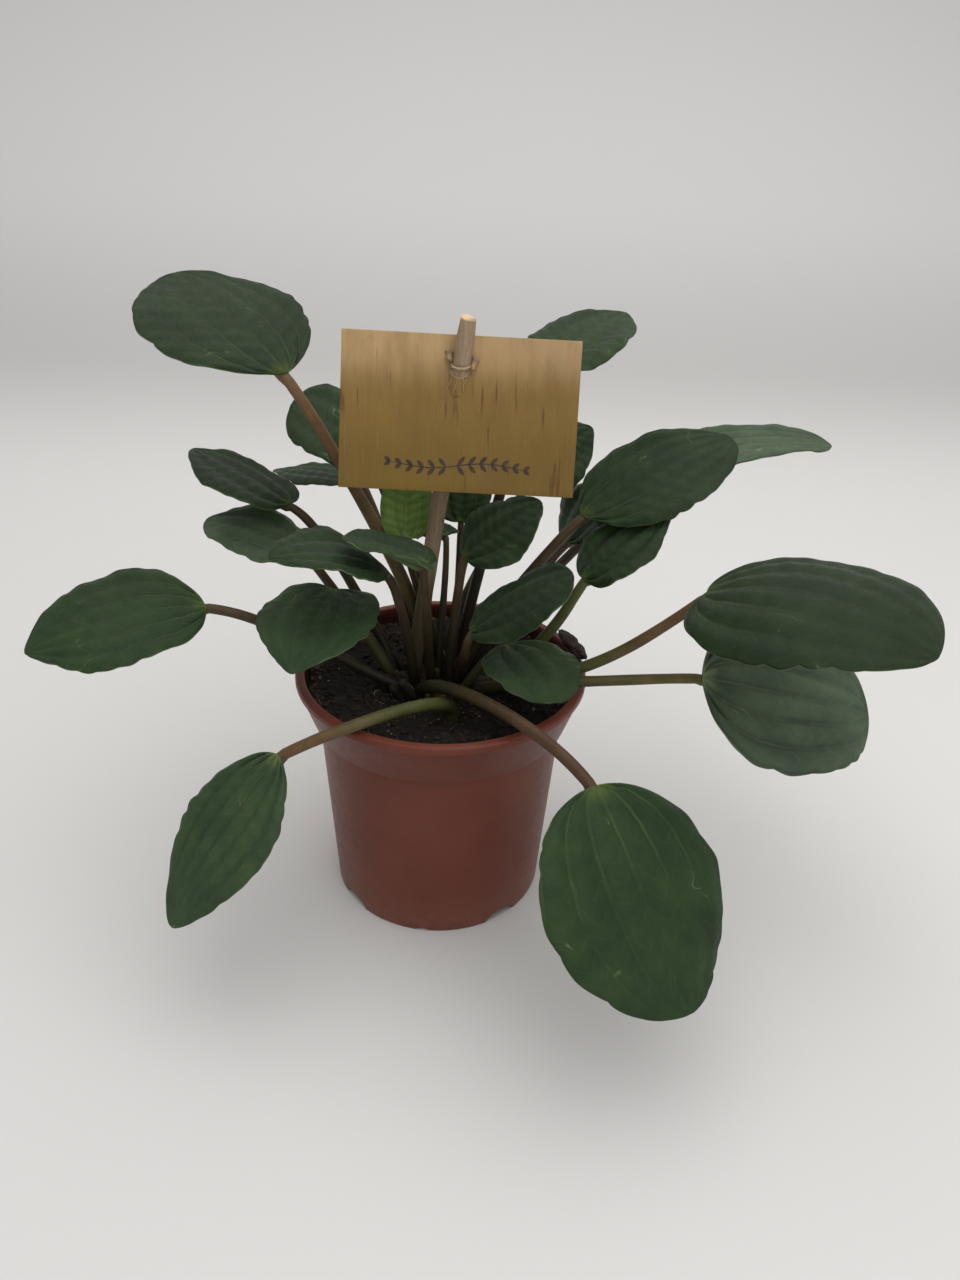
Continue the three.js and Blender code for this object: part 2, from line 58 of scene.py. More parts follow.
# %% [markdown]
# ## The camera
# A phone looks down on the plant at 29 degrees from less than half a metre away. Its lens is
# given for the upright side of the frame, so the sensor is fitted to the height. The phone is
# turned and tilted by a few degrees: three turns in a row make its matrix. The Standard view
# shows pale cloth nearly as bright as paper and leaves quite dark, as a phone does.

# %% Camera
CAMERA_PLACE = Vector((0, -358.4, 316.1)) * MM
CAMERA_DOWN = math.radians(29.0)
CAMERA_TURN = math.radians(-2.5)
CAMERA_TILT = math.radians(2.1)

camera_data = bpy.data.cameras.new("camera")
camera_data.sensor_fit = "VERTICAL"
camera_data.sensor_height = 36
camera_data.lens = 28.125
camera_data.clip_start = 0.01
camera = bpy.data.objects.new("camera", camera_data)
camera.matrix_world = (
    Matrix.Translation(CAMERA_PLACE)
    @ Matrix.Rotation(CAMERA_TURN, 4, "Z")
    @ Matrix.Rotation(math.pi / 2 - CAMERA_DOWN, 4, "X")
    @ Matrix.Rotation(CAMERA_TILT, 4, "Z")
)
scene.collection.objects.link(camera)
scene.camera = camera
scene.view_settings.view_transform = "Standard"
print("camera", [round(c, 3) for c in CAMERA_PLACE])

# %% [markdown]
# ## Nodes in few words
# A material is a small network. `add_node` makes one node, sets its options, and either fills
# each socket with a value or plugs another node's output into it. Sockets go by name, and by
# number on the nodes where several share a name, which are those for sums and for mixing.

# %% Node helpers
def add_node(tree, kind, sockets=None, **options):
    """A new node in a node tree, with its options set and its sockets filled or linked."""
    made = tree.nodes.new(kind)
    for name, value in options.items():
        setattr(made, name, value)
    for name, value in (sockets or {}).items():
        if isinstance(value, bpy.types.NodeSocket):
            tree.links.new(value, made.inputs[name])
        else:
            made.inputs[name].default_value = value
    return made


def math_node(tree, operation, *values):
    """The result of one calculation on sockets and numbers."""
    sockets = dict(enumerate(values))
    return add_node(tree, "ShaderNodeMath", sockets, operation=operation).outputs[0]


def mix_colours(tree, share, first, second):
    """A colour between two others."""
    sockets = {0: share, 6: first, 7: second}
    return add_node(tree, "ShaderNodeMix", sockets, data_type="RGBA").outputs[2]


def ease(tree, value, low, high, to_low=0.0, to_high=1.0):
    """A soft step: to_low below low, to_high above high."""
    made = add_node(tree, "ShaderNodeMapRange", {
        "Value": value, "From Min": low, "From Max": high, "To Min": to_low, "To Max": to_high,
    }, interpolation_type="SMOOTHSTEP")
    return made.outputs["Result"]


def rgb(red, green, blue):
    """A colour given as the eye reads it, 0 to 255, turned into the light it stands for."""
    linear = [(c / 255 / 12.92) if c <= 10 else ((c / 255 + 0.055) / 1.055) ** 2.4
              for c in (red, green, blue)]
    return (*linear, 1.0)


print("a grey of 128 gives back", round(rgb(128, 128, 128)[0], 3), "of the light")

# %% [markdown]
# ## Groups and materials
# An effect that several finishes share is a node group, built once and placed with each
# finish's own values. In a material, what is the same all over is set on the shader itself,
# and what changes over the surface is plugged in last: colour, roughness and a fine relief.

# %% Group helpers
def start_group(name, inputs, outputs):
    """An empty node group with named sockets, and its input and output nodes."""
    group = bpy.data.node_groups.new(name, "ShaderNodeTree")
    for socket, kind, value in inputs:
        made = group.interface.new_socket(socket, in_out="INPUT", socket_type=kind)
        if value is not None:
            made.default_value = value
    for socket, kind in outputs:
        group.interface.new_socket(socket, in_out="OUTPUT", socket_type=kind)
    return group, group.nodes.new("NodeGroupInput"), group.nodes.new("NodeGroupOutput")


def use_group(tree, group, sockets):
    """The group placed in a material, with its own values."""
    return add_node(tree, "ShaderNodeGroup", sockets, node_tree=group)


def outputs_of(group):
    """The names of what a group puts out."""
    return [socket.name for socket in group.interface.items_tree if socket.in_out == "OUTPUT"]


print("node groups so far:", len(bpy.data.node_groups))

# %% Material helpers
def start_material(name, **surface):
    """A material with its shader's plain values set. Returns it, its tree and its shader."""
    material = bpy.data.materials.new(name)
    material.use_nodes = True
    shader = material.node_tree.nodes["Principled BSDF"]
    for socket, value in surface.items():
        shader.inputs[socket.replace("_", " ")].default_value = value
    return material, material.node_tree, shader


def finish_material(tree, shader, colour, roughness=None, height=None, depth=0.0):
    """Plugs the colour, roughness and relief in. depth is the relief's height in mm."""
    tree.links.new(colour, shader.inputs["Base Color"])
    if roughness is not None:
        tree.links.new(roughness, shader.inputs["Roughness"])
    if height is not None:
        bump = add_node(tree, "ShaderNodeBump", {"Height": height, "Distance": depth * MM})
        tree.links.new(bump.outputs["Normal"], shader.inputs["Normal"])


def place_of(tree):
    """The point on the piece in metres, which stays put on it."""
    return add_node(tree, "ShaderNodeTexCoord").outputs["Object"]


def height_of(tree):
    """How high a point on the piece is, in metres."""
    return add_node(tree, "ShaderNodeSeparateXYZ", {"Vector": place_of(tree)}).outputs["Z"]


print("materials that came with the frame:", len(bpy.data.materials))

# %% [markdown]
# ## Two shared effects
# Living and moulded surfaces are never one flat colour. `mottle` gives soft clouds at two
# sizes, which tint every finish here. `streaks` gives long thin lines along one direction, for
# the grain of the stick and the card and for the fibres of the stalks.

# %% Mottle
def make_mottle():
    group, given, result = start_group(
        "mottle",
        [("Place", "NodeSocketVector", None), ("Size mm", "NodeSocketFloat", 10.0)],
        [("Clouds", "NodeSocketFloat"), ("Fine", "NodeSocketFloat")])
    scale = math_node(group, "DIVIDE", 1000.0, given.outputs["Size mm"])
    clouds = add_node(group, "ShaderNodeTexNoise", {
        "Vector": given.outputs["Place"], "Scale": scale, "Detail": 3.0, "Roughness": 0.55})
    fine = add_node(group, "ShaderNodeTexNoise", {
        "Vector": given.outputs["Place"], "Scale": math_node(group, "MULTIPLY", scale, 9.0),
        "Detail": 2.0})
    group.links.new(ease(group, clouds.outputs[0], 0.3, 0.7), result.inputs["Clouds"])
    group.links.new(fine.outputs[0], result.inputs["Fine"])
    return group


MOTTLE = make_mottle()
print("mottle gives", outputs_of(MOTTLE))

# %% Streaks
def make_streaks():
    group, given, result = start_group(
        "streaks",
        [("Place", "NodeSocketVector", None), ("Width mm", "NodeSocketFloat", 0.5),
         ("Length mm", "NodeSocketFloat", 40.0)],
        [("Streaks", "NodeSocketFloat"), ("Dark lines", "NodeSocketFloat")])
    parts = add_node(group, "ShaderNodeSeparateXYZ", {"Vector": given.outputs["Place"]})
    across = math_node(group, "DIVIDE", 1000.0, given.outputs["Width mm"])
    along = math_node(group, "DIVIDE", 1000.0, given.outputs["Length mm"])
    stretched = add_node(group, "ShaderNodeCombineXYZ", {
        "X": math_node(group, "MULTIPLY", parts.outputs["X"], across),
        "Y": math_node(group, "MULTIPLY", parts.outputs["Y"], across),
        "Z": math_node(group, "MULTIPLY", parts.outputs["Z"], along)})
    lines = add_node(group, "ShaderNodeTexNoise", {
        "Vector": stretched.outputs[0], "Scale": 1.0, "Detail": 4.0, "Roughness": 0.65})
    broad = add_node(group, "ShaderNodeTexNoise", {
        "Vector": stretched.outputs[0], "Scale": 0.22, "Detail": 1.0})
    group.links.new(lines.outputs[0], result.inputs["Streaks"])
    group.links.new(ease(group, broad.outputs[0], 0.62, 0.72), result.inputs["Dark lines"])
    return group


STREAKS = make_streaks()
print("streaks give", outputs_of(STREAKS))

# %% [markdown]
# ## Making a piece
# Most shapes here are one net of squares that a formula carries into place: a tube is a net
# rolled up, a blade is a net pulled together at both ends. `carry_net` starts from Blender's
# own grid, keeps each corner's place on the net as a UV map, moves the corners, and welds
# those that meet.

# %% Nets
WELD = 0.001 * MM                # corners closer than this become one


def carry_net(mesh, columns, rows, place):
    """A grid of columns by rows in a bmesh, whose corner (across, along) goes to place()."""
    uv = mesh.loops.layers.uv.verify()
    corners = bmesh.ops.create_grid(mesh, x_segments=columns, y_segments=rows, size=1.0)["verts"]
    own = {corner: ((corner.co.x + 1) / 2, (corner.co.y + 1) / 2) for corner in corners}
    for face in {face for corner in corners for face in corner.link_faces}:
        for loop in face.loops:
            loop[uv].uv = own[loop.vert]
    for corner, (across, along) in own.items():
        corner.co = place(across, along)
    bmesh.ops.remove_doubles(mesh, verts=corners, dist=WELD)


print("corners weld within", WELD, "m")

# %% [markdown]
# Stalks, stubs, the stick and fibres are tubes. A curve with a bevel depth makes a tube too,
# but a rolled net brings a UV map along, which colours a stalk from its foot to its blade. A
# tube's rings must not twist where its centre line bends. Each ring's sideways direction is
# therefore the last ring's, turned only as much as the line itself turns.

# %% Tubes
def tube(mesh, centres, radii, sides):
    """A closed tube round a list of centres, all in metres."""
    rings = []
    axis = (centres[1] - centres[0]).normalized()
    side = axis.orthogonal().normalized()
    for i, centre in enumerate(centres):
        ahead = centres[min(i + 1, len(centres) - 1)] - centres[max(i - 1, 0)]
        side = (axis.rotation_difference(ahead) @ side).normalized()
        axis = ahead.normalized()
        rings.append((centre, side, axis.cross(side), radii[i]))

    def on_tube(across, along):
        centre, side, other, radius = rings[round(along * (len(rings) - 1))]
        turn = 2 * math.pi * across
        return centre + radius * (side * math.cos(turn) + other * math.sin(turn))

    before = set(mesh.faces)
    carry_net(mesh, sides, len(rings) - 1, on_tube)
    new_edges = {edge for face in set(mesh.faces) - before for edge in face.edges}
    bmesh.ops.holes_fill(mesh, edges=[edge for edge in new_edges if edge.is_boundary], sides=0)


trial = bmesh.new()
tube(trial, [Vector((0, 0, 0)), UP * MM], [MM, MM], 8)
print("a tube with 8 sides and its 2 ends has", len(trial.faces), "faces")
trial.free()

# %% [markdown]
# A finished mesh becomes an object at the origin, with its place in its mesh, and tells the
# frame two things: which body it rides on and what it replaces.

# %% Finished pieces
def finish_piece(name, mesh, materials, replaces=(), outwards=True, smooth=True):
    """Turns a bmesh into a finished piece of the plant that rides on the one body."""
    if outwards:
        bmesh.ops.recalc_face_normals(mesh, faces=mesh.faces)
    data = bpy.data.meshes.new(name)
    mesh.to_mesh(data)
    mesh.free()
    for material in materials:
        data.materials.append(material)
    if smooth:
        data.shade_smooth()
    piece = bpy.data.objects.new(name, data)
    scene.collection.objects.link(piece)
    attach(piece, "root")
    if replaces:
        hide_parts(*replaces)
    return piece


def bumpy(point, size, seed=0.0):
    """Repeatable unevenness, about -1 to 1, with lumps of the given size in mm."""
    return noise.fractal(point / (size * MM) + Vector((seed, 1.7 * seed, -seed)), 1.0, 2.0, 3)


print("unevenness 10 mm from the axis:", round(bumpy(Vector((10, 0, 0)) * MM, 9.0), 2))

# %% [markdown]
# ## Floor and light
# The plant stands on a pale cloth that rises behind it in one sweep, so there is no hard
# horizon. The sweep is one long profile pulled sideways: flat, then a quarter turn, then
# upright. The cloth is brightest where it lies flat and duller where it starts to rise, which is
# painted shade that three soft steps in height give it.

# %% Sweep
SWEEP_FRONT = -1.6
SWEEP_BEND = 0.42                # where the floor starts to rise, in metres behind the pot
SWEEP_RADIUS = 0.55
SWEEP_STEPS = 16
SWEEP_TOP = 1.9
SWEEP_HALF_WIDTH = 2.2
CLOTH_FLAT = rgb(232, 231, 229)
# Painted shade on the cloth as it rises: each step's lowest and highest height in metres, and the
# darker cloth above it.
CLOTH_SHADE_STEPS = [(-0.02, 0.07, rgb(197, 196, 194)), (0.06, 0.22, rgb(213, 212, 211)),
               (0.25, 0.5, rgb(206, 205, 204))]


def make_cloth_finish():
    material, tree, shader = start_material("pale_cloth", Roughness=0.9, Specular_IOR_Level=0.2)
    height, colour = height_of(tree), CLOTH_FLAT
    for low, high, above in CLOTH_SHADE_STEPS:
        colour = mix_colours(tree, ease(tree, height, low, high), colour, above)
    finish_material(tree, shader, colour)
    return material


def make_sweep():
    mesh = bmesh.new()
    profile = [(SWEEP_FRONT, 0.0), (SWEEP_BEND, 0.0)]
    for i in range(1, SWEEP_STEPS + 1):
        turn = math.radians(90 * i / SWEEP_STEPS)
        profile.append((SWEEP_BEND + SWEEP_RADIUS * math.sin(turn),
                        SWEEP_RADIUS * (1 - math.cos(turn))))
    profile.append((SWEEP_BEND + SWEEP_RADIUS, SWEEP_TOP))
    corners = [mesh.verts.new((-SWEEP_HALF_WIDTH, y, z)) for y, z in profile]
    edges = [mesh.edges.new(pair) for pair in zip(corners, corners[1:])]
    pulled = bmesh.ops.extrude_edge_only(mesh, edges=edges)["geom"]
    bmesh.ops.translate(mesh, vec=(2 * SWEEP_HALF_WIDTH, 0, 0),
                        verts=[v for v in pulled if isinstance(v, bmesh.types.BMVert)])
    data = bpy.data.meshes.new("sweep")
    mesh.to_mesh(data)
    mesh.free()
    data.shade_smooth()
    sweep = bpy.data.objects.new("sweep", data)
    scene.collection.objects.link(sweep)
    data.materials.append(make_cloth_finish())


make_sweep()
print("sweep rises at y =", SWEEP_BEND, "m")

# %% [markdown]
# A wide soft light above gives the faint shadows of a room by day. A smaller, cooler one in
# front stands for a window, and a weak pale surround fills the sides that face neither.

# %% Lights
def add_softbox(name, place, target, width, height, power, colour):
    """A rectangular light that faces a target point."""
    data = bpy.data.lights.new(name, "AREA")
    data.shape = "RECTANGLE"
    data.size, data.size_y = width, height
    data.energy = power
    data.color = colour
    light = bpy.data.objects.new(name, data)
    light.location = place
    light.rotation_euler = (Vector(place) - Vector(target)).to_track_quat("Z", "Y").to_euler()
    scene.collection.objects.link(light)


add_softbox("sky", (0.15, 0.05, 1.2), (0, 0, 0), 2.0, 1.6, 14, (1.0, 0.985, 0.96))
add_softbox("window", (0.5, -1.1, 0.8), (0, 0, 0.1), 1.2, 0.9, 3.5, (0.96, 0.98, 1.0))

world = bpy.data.worlds.new("room")
world.use_nodes = True
world.node_tree.nodes["Background"].inputs["Color"].default_value = (0.80, 0.81, 0.83, 1)
world.node_tree.nodes["Background"].inputs["Strength"].default_value = 0.45
scene.world = world

# %% [markdown]
# ## The leaves, one row each
# Leaves strewn at random would cut through each other and make just any plant. So every leaf
# is set one by one: where its stalk leaves the crown, the two handles of the stalk's curve, and
# the two ends of the midrib. `roll` turns the blade about its midrib, `bend` is the
# whole turn of the midrib and `cup` the turn from midrib to margin, in degrees. `lobe` lets the
# base reach back past the joint, `ovate` moves the widest part towards the base and `taper`
# narrows the tip. `skew` makes one half wider than the other. `stem` is the stalk's radius at
# the crown and at the blade. A row leaves out what its leaf has as most leaves have it.

# %% Leaf table
BIG = dict(bands=3, columns=84, rows=92, teeth=10)
SMALL = dict(bands=2, columns=56, rows=64, teeth=7)
USUAL = dict(lobe=0.15, ovate=0.12, taper=0.25, skew=0)
LEAVES = [
    dict(name="low_left", grid=BIG, root=(-17.4, -7.3), first=(-36, -7, 108),
         second=(-62, -14, 132), base=(-91, -15, 139), tip=(-150, -38, 132),
         width=57, roll=-13, bend=-36, cup=0, lobe=0, ovate=-0.04, taper=0.2, stem=(2.4, 1.9)),
    dict(name="left_round", grid=BIG, root=(-19.6, -1.9), first=(-28, -1, 115),
         second=(-38, 2, 130), base=(-43, -2, 140), tip=(-54, -48, 129),
         width=48, roll=-1, bend=-24, cup=0, lobe=0.26, ovate=-0.06, taper=0.49, stem=(2.4, 2)),
    dict(name="front_left", grid=BIG, root=(5, -27), first=(4, -27, 110),
         second=(-23, -58, 118), base=(-60, -55, 98), tip=(-95, -85, 53),
         width=44, roll=-5, bend=-15, cup=2, lobe=-0.07, ovate=0.05, taper=-0.1, skew=0.09,
         stem=(2.7, 2.1)),
    dict(name="front_right", grid=BIG, root=(-8, -11), first=(-5, -19, 112),
         second=(27, -56, 123), base=(55, -76, 101), tip=(81, -130, 46),
         width=80, roll=-9, bend=-26, cup=-9, lobe=0, ovate=0.05, taper=0.2, stem=(2.8, 2.3)),
    dict(name="right_low", grid=BIG, root=(12.2, -9.1), first=(26, -18, 108),
         second=(72, -22, 112), base=(104, -20, 113), tip=(178, -13, 92),
         width=69, roll=35, bend=-12, cup=0, lobe=-0.05, ovate=0.19, taper=-0.09, stem=(2.5, 2)),
    dict(name="right_big", grid=BIG, root=(14.2, -3.6), first=(34, -9, 102),
         second=(66, -18, 110), base=(99, -25, 153), tip=(166, -74, 158),
         width=84, roll=8, bend=-56, cup=-26, lobe=0.2, ovate=0.02, taper=0.13, skew=0.07,
         stem=(2.8, 2)),
    dict(name="top_left", grid=BIG, root=(-4, 14), first=(-10, 17, 130),
         second=(-38, 20, 180), base=(-59, 14, 221), tip=(-105, 50, 249),
         width=72, roll=-4, bend=-25, cup=0, lobe=-0.1, ovate=0.03, taper=0.3, skew=0.11,
         stem=(3.2, 2.1)),
    dict(name="back_left", grid=SMALL, root=(-5, 20.2), first=(-4, 28, 125),
         second=(-24, 40, 160), base=(-32, 42, 184), tip=(-62, 44, 201),
         width=46, roll=-22, bend=-26, cup=8, lobe=0.13, ovate=-0.08, taper=0, skew=0.06,
         stem=(2.3, 1.8)),
    dict(name="left_upper", grid=SMALL, root=(-20, 10.4), first=(-30, 16, 118),
         second=(-49, 34, 150), base=(-64, 34, 162), tip=(-106, 53, 178),
         width=43, roll=7, bend=-18, cup=0, lobe=0.08, ovate=0.13, taper=0.27, skew=0.17,
         stem=(2.3, 1.8)),
    dict(name="left_middle", grid=SMALL, root=(-19.9, 4.4), first=(-30, 8, 112),
         second=(-46, 18, 132), base=(-58, 20, 148), tip=(-97, 24, 157),
         width=41, roll=-5, bend=-30, cup=0, lobe=0.11, ovate=0.01, taper=0.13, stem=(2.3, 1.8)),
    dict(name="left_inner", grid=SMALL, root=(-11, -4.5), first=(-13, -7, 120),
         second=(-16, -8, 138), base=(-21, -10, 152), tip=(-62, -30, 166),
         width=42, roll=-4, bend=-50, cup=0, lobe=-0.08, ovate=0.14, taper=0.32, skew=-0.13,
         stem=(2.2, 1.8)),
    dict(name="front_inner", grid=SMALL, root=(-4, -6), first=(-5, -9, 120),
         second=(-7, -21, 146), base=(-7, -22, 162), tip=(-37, -20, 170),
         width=31, roll=13, bend=-5, cup=20, lobe=0.5, ovate=-0.14, taper=0.15, skew=-0.21,
         stem=(2, 1.6)),
    dict(name="back_low_left", grid=SMALL, root=(-11, 17.5), first=(-12, 28, 118),
         second=(-28, 50, 146), base=(-36, 58, 164), tip=(-76, 74, 162),
         width=37, roll=7, bend=-19, cup=-4, lobe=0.18, ovate=0.15, stem=(2.2, 1.8)),
    dict(name="young_upright", grid=SMALL, root=(0, 9), first=(-3, 12, 120),
         second=(-15, 15, 138), base=(-15, 15, 156), tip=(-15, 30, 185),
         width=22, roll=0, bend=-10, cup=14, stem=(1.7, 1.3)),
    dict(name="young_back", grid=SMALL, root=(5, 12), first=(6, 16, 120),
         second=(7, 26, 140), base=(7, 28, 158), tip=(10, 42, 184),
         width=25, roll=0, bend=-10, cup=10, stem=(1.7, 1.3)),
    dict(name="centre_right", grid=SMALL, root=(3, -2), first=(4, 0, 118),
         second=(6, 3, 136), base=(8, 4, 153), tip=(38, 10, 174),
         width=36, roll=19, bend=-15, cup=7, lobe=0, ovate=0.04, taper=0.38, skew=-0.11,
         stem=(2.2, 1.8)),
    dict(name="young_centre", grid=SMALL, root=(-1, 3), first=(-1, 6, 120),
         second=(2, 13, 140), base=(1, 16, 157), tip=(-9, 33, 152),
         width=18, roll=0, bend=-20, cup=0, stem=(1.6, 1.2)),
    dict(name="right_upper", grid=BIG, root=(9, 0), first=(14, 2, 122),
         second=(40, 10, 150), base=(55, 12, 168), tip=(118, 40, 192),
         width=47, roll=17, bend=-26, cup=3, lobe=-0.08, ovate=0.11, taper=0.21, skew=-0.1,
         stem=(2.4, 1.9)),
    dict(name="back_right_low", grid=SMALL, root=(14.9, 8.2), first=(22, 12, 115),
         second=(42, 26, 136), base=(52, 32, 148), tip=(72, 42, 175),
         width=43, roll=-10, bend=-21, cup=-5, lobe=0, ovate=0.03, taper=0.23, skew=0.06,
         stem=(2.2, 1.8)),
    dict(name="far_right_top", grid=BIG, root=(11.8, 13.6), first=(22, 24, 112),
         second=(68, 60, 138), base=(92, 74, 164), tip=(169, 62, 183),
         width=57, roll=0, bend=-39, cup=11, lobe=0.17, ovate=0.09, taper=0.18, stem=(2.5, 1.9)),
    dict(name="top_right", grid=SMALL, root=(7, 17.6), first=(16, 30, 140),
         second=(28, 36, 190), base=(37, 36, 222), tip=(72, 61, 237),
         width=44, roll=4, bend=-20, cup=4, lobe=0.1, ovate=0.13, taper=0.24, skew=-0.14,
         stem=(2.5, 1.9)),
    dict(name="back_right_small", grid=SMALL, root=(1.6, 19.8), first=(5, 32, 120),
         second=(30, 54, 150), base=(40, 62, 170), tip=(64, 66, 187),
         width=43, roll=26, bend=-20, cup=0, lobe=0.1, ovate=0.25, taper=0.4, stem=(2.1, 1.7)),
    dict(name="right_middle", grid=SMALL, root=(16, 2), first=(34, 1, 103),
         second=(49, -4, 128), base=(55, -6, 149), tip=(88, 7, 170),
         width=35, roll=3, bend=-33, cup=4, lobe=0.07, ovate=0.09, taper=0.27, skew=-0.05,
         stem=(2.6, 2)),
    dict(name="front_right_inner", grid=SMALL, root=(8, -6), first=(9, -10, 112),
         second=(8, -24, 122), base=(11, -25, 135), tip=(48, -24, 159),
         width=34, roll=11, bend=-19, cup=-14, lobe=0.1, ovate=-0.18, taper=0.09, stem=(2, 1.6)),
    dict(name="front_right_low", grid=SMALL, root=(7.8, -13), first=(12, -14, 108),
         second=(18, -14, 118), base=(26, -16, 124), tip=(45, -46, 117),
         width=41, roll=-3, bend=-29, cup=0, lobe=0.07, ovate=0.04, taper=0.2, stem=(2.1, 1.7)),
]
for leaf in LEAVES:
    for key, value in USUAL.items():
        leaf.setdefault(key, value)
print("leaves:", len(LEAVES), "of them broad:", sum(leaf["grid"] is BIG for leaf in LEAVES))

# %% [markdown]
# ## The form of a blade
# The veins of this leaf part at the joint and meet again at the tip, so the blade is described
# in their own terms: `share` goes from one margin over the midrib to the other, and `sweep`
# turns by half a circle from the joint to the tip. The midrib itself is an arc.

# %% Midrib
def midrib_frame(leaf):
    """The midrib is an arc from base to tip. Its start, directions, whole turn and length."""
    base = Vector(leaf["base"])
    chord = Vector(leaf["tip"]) - base
    ahead = chord.normalized()
    level = UP.cross(ahead).normalized()
    across = Matrix.Rotation(math.radians(leaf["roll"]), 3, ahead) @ level
    face = ahead.cross(across)
    bend = math.radians(leaf["bend"])
    tilt = Matrix.Rotation(bend / 2, 3, across)
    length = chord.length * (bend / 2) / math.sin(bend / 2)
    return dict(base=base, ahead=tilt @ ahead, across=across, face=tilt @ face, bend=bend,
                length=length)


print("longest midrib:", round(max(midrib_frame(leaf)["length"] for leaf in LEAVES)), "mm")

# %% [markdown]
# The outline is a half circle's worth of width, fuller towards the base and drawn in at the
# tip. Blunt teeth and a slow looseness keep it from looking drawn with a compass. Some tips
# are pinched to a point, or broader than most, or drawn aside or ahead.

# %% Blade outline
TOOTH_DEPTH = 0.06               # depth of the blunt teeth, as a share of the half width
LOOSENESS = 0.027                # how far the outline strays, as a share of the half width
TIP_STEEPNESS = 6                # the higher, the nearer the tip its own form starts
# For the two halves of a tip, how far each is pinched, or with a minus is broader than most.
# Then how far the point is drawn aside and ahead, in mm.
PLAIN_TIP = (0, 0, 0, 0)
TIPS = dict(front_left=(0.3, 0.4, 3.5, 7), low_left=(0.3, 0.4, 1, 1.5),
            right_big=(0.2, -0.5, -5, 0), right_low=(-0.25, -0.25, 0, 0),
            front_right=(-0.35, 0.2, 5, 0), right_middle=(0.5, 0.5, 0, 1.5),
            top_left=(-0.15, -0.15, 0, 0), right_upper=(-0.2, -0.1, 0, 0),
            left_round=(0.3, 0.3, 0, 0))


def margin_teeth(leaf, sweep, side, seed):
    """How far the margin is drawn in, as a share of the half width. 0 on a tooth's back."""
    count = leaf["grid"]["teeth"]
    walk = count * (sweep + 0.16 * math.sin(2.7 * sweep + seed + side)) / math.pi + seed
    notch = 1 - abs(math.sin(math.pi * walk)) ** 0.75
    uneven = 0.6 + 0.4 * math.sin(5.1 * sweep + 2.3 * seed + 2 * side)
    fade = 0.3 + 0.7 * min(1.0, max(0.0, (sweep - 0.5) / 1.0))
    return TOOTH_DEPTH * notch * uneven * fade


def blade_reach(leaf, share, sweep, seed):
    """How far a point lies from the midrib, as a share of the half width."""
    side = 1 if share >= 0 else -1
    along = (1 - math.cos(sweep)) / 2
    fullness = (1 + leaf["ovate"] * math.cos(sweep)) * (1 - leaf["taper"] * along ** 3)
    pinched = TIPS.get(leaf["name"], PLAIN_TIP)[share >= 0]
    fullness *= 1 - pinched * along ** TIP_STEEPNESS
    drawn_in = margin_teeth(leaf, sweep, side, seed) * abs(share) ** 8
    loose = LOOSENESS * math.sin(3.3 * sweep + 1.9 * seed + 1.3 * side) * share * share
    skewed = share * (1 + leaf["skew"] * share)
    return skewed * math.sin(sweep) * fullness * (1 - drawn_in + loose)


widest = max(LEAVES, key=lambda leaf: leaf["width"])
print("widest blade:", widest["name"], widest["width"], "mm")

# %% [markdown]
# The veins lie in grooves and the blade is raised in soft bands between them. Faint cross
# pleats, a waved margin and a finer ripple at its very edge come on top. All of them fade out
# at the joint and the tip, where the two halves meet. A bump in the finish could fake them,
# but real relief also shapes the leaf's edge and its underside.

# %% Blade relief
VEIN_DEPTH = 0.55                # how far the main veins sink between the raised bands
GROOVE_DEPTH = 0.25              # the sharp part of each vein
GROOVE_WIDTH = 0.9
RIB_FADE = 0.75                  # how much flatter the bands are at the tip
PLEAT_DEPTH = 0.16
EDGE_WAVE = 1.1                  # how far the margin lifts and falls
EDGE_RIPPLE = 0.35
# How deeply a leaf is ribbed beside most, which also sets how dark the painted shade in its grooves
# is.
RIBBED = dict(young_upright=0.5, right_low=2.2, front_left=1.3, right_middle=1.5, top_left=0.7,
              front_right=0.7, far_right_top=1.4, left_round=0.8)


def blade_relief(leaf, share, sweep, seed):
    """How far a point is lifted or sunk by bands, grooves, pleats and waves, in mm."""
    side = 1 if share >= 0 else -1
    opened = math.sin(sweep)
    along = (1 - math.cos(sweep)) / 2
    bands, half = leaf["grid"]["bands"], leaf["width"] / 2
    rib = -VEIN_DEPTH * math.cos(2 * math.pi * share * bands) * math.sqrt(opened)
    nearest = abs(share * bands - round(share * bands)) / bands * half * opened
    groove = math.exp(-(nearest / GROOVE_WIDTH) ** 2)
    rib -= GROOVE_DEPTH * groove * math.sqrt(opened) * (1 - along)
    rib *= RIBBED.get(leaf["name"], 1) * (1 - RIB_FADE * along * along)
    slant = 9 * along - 1.6 * abs(share)
    pleat = PLEAT_DEPTH * opened * math.sin(2 * math.pi * slant + seed)
    wave = EDGE_WAVE * opened * share * share * math.sin(4.2 * sweep + 2.4 * share + seed)
    ripple = EDGE_RIPPLE * opened * share ** 4 * math.sin(11 * sweep + 3 * seed + side)
    return rib + pleat + wave + ripple


print("veins sink by", VEIN_DEPTH + GROOVE_DEPTH, "mm on most leaves")

# %% [markdown]
# Bend and cup are two arcs at right angles. The first carries a point along the midrib, the
# second carries it out to the side, and the relief then lifts it square to the blade.

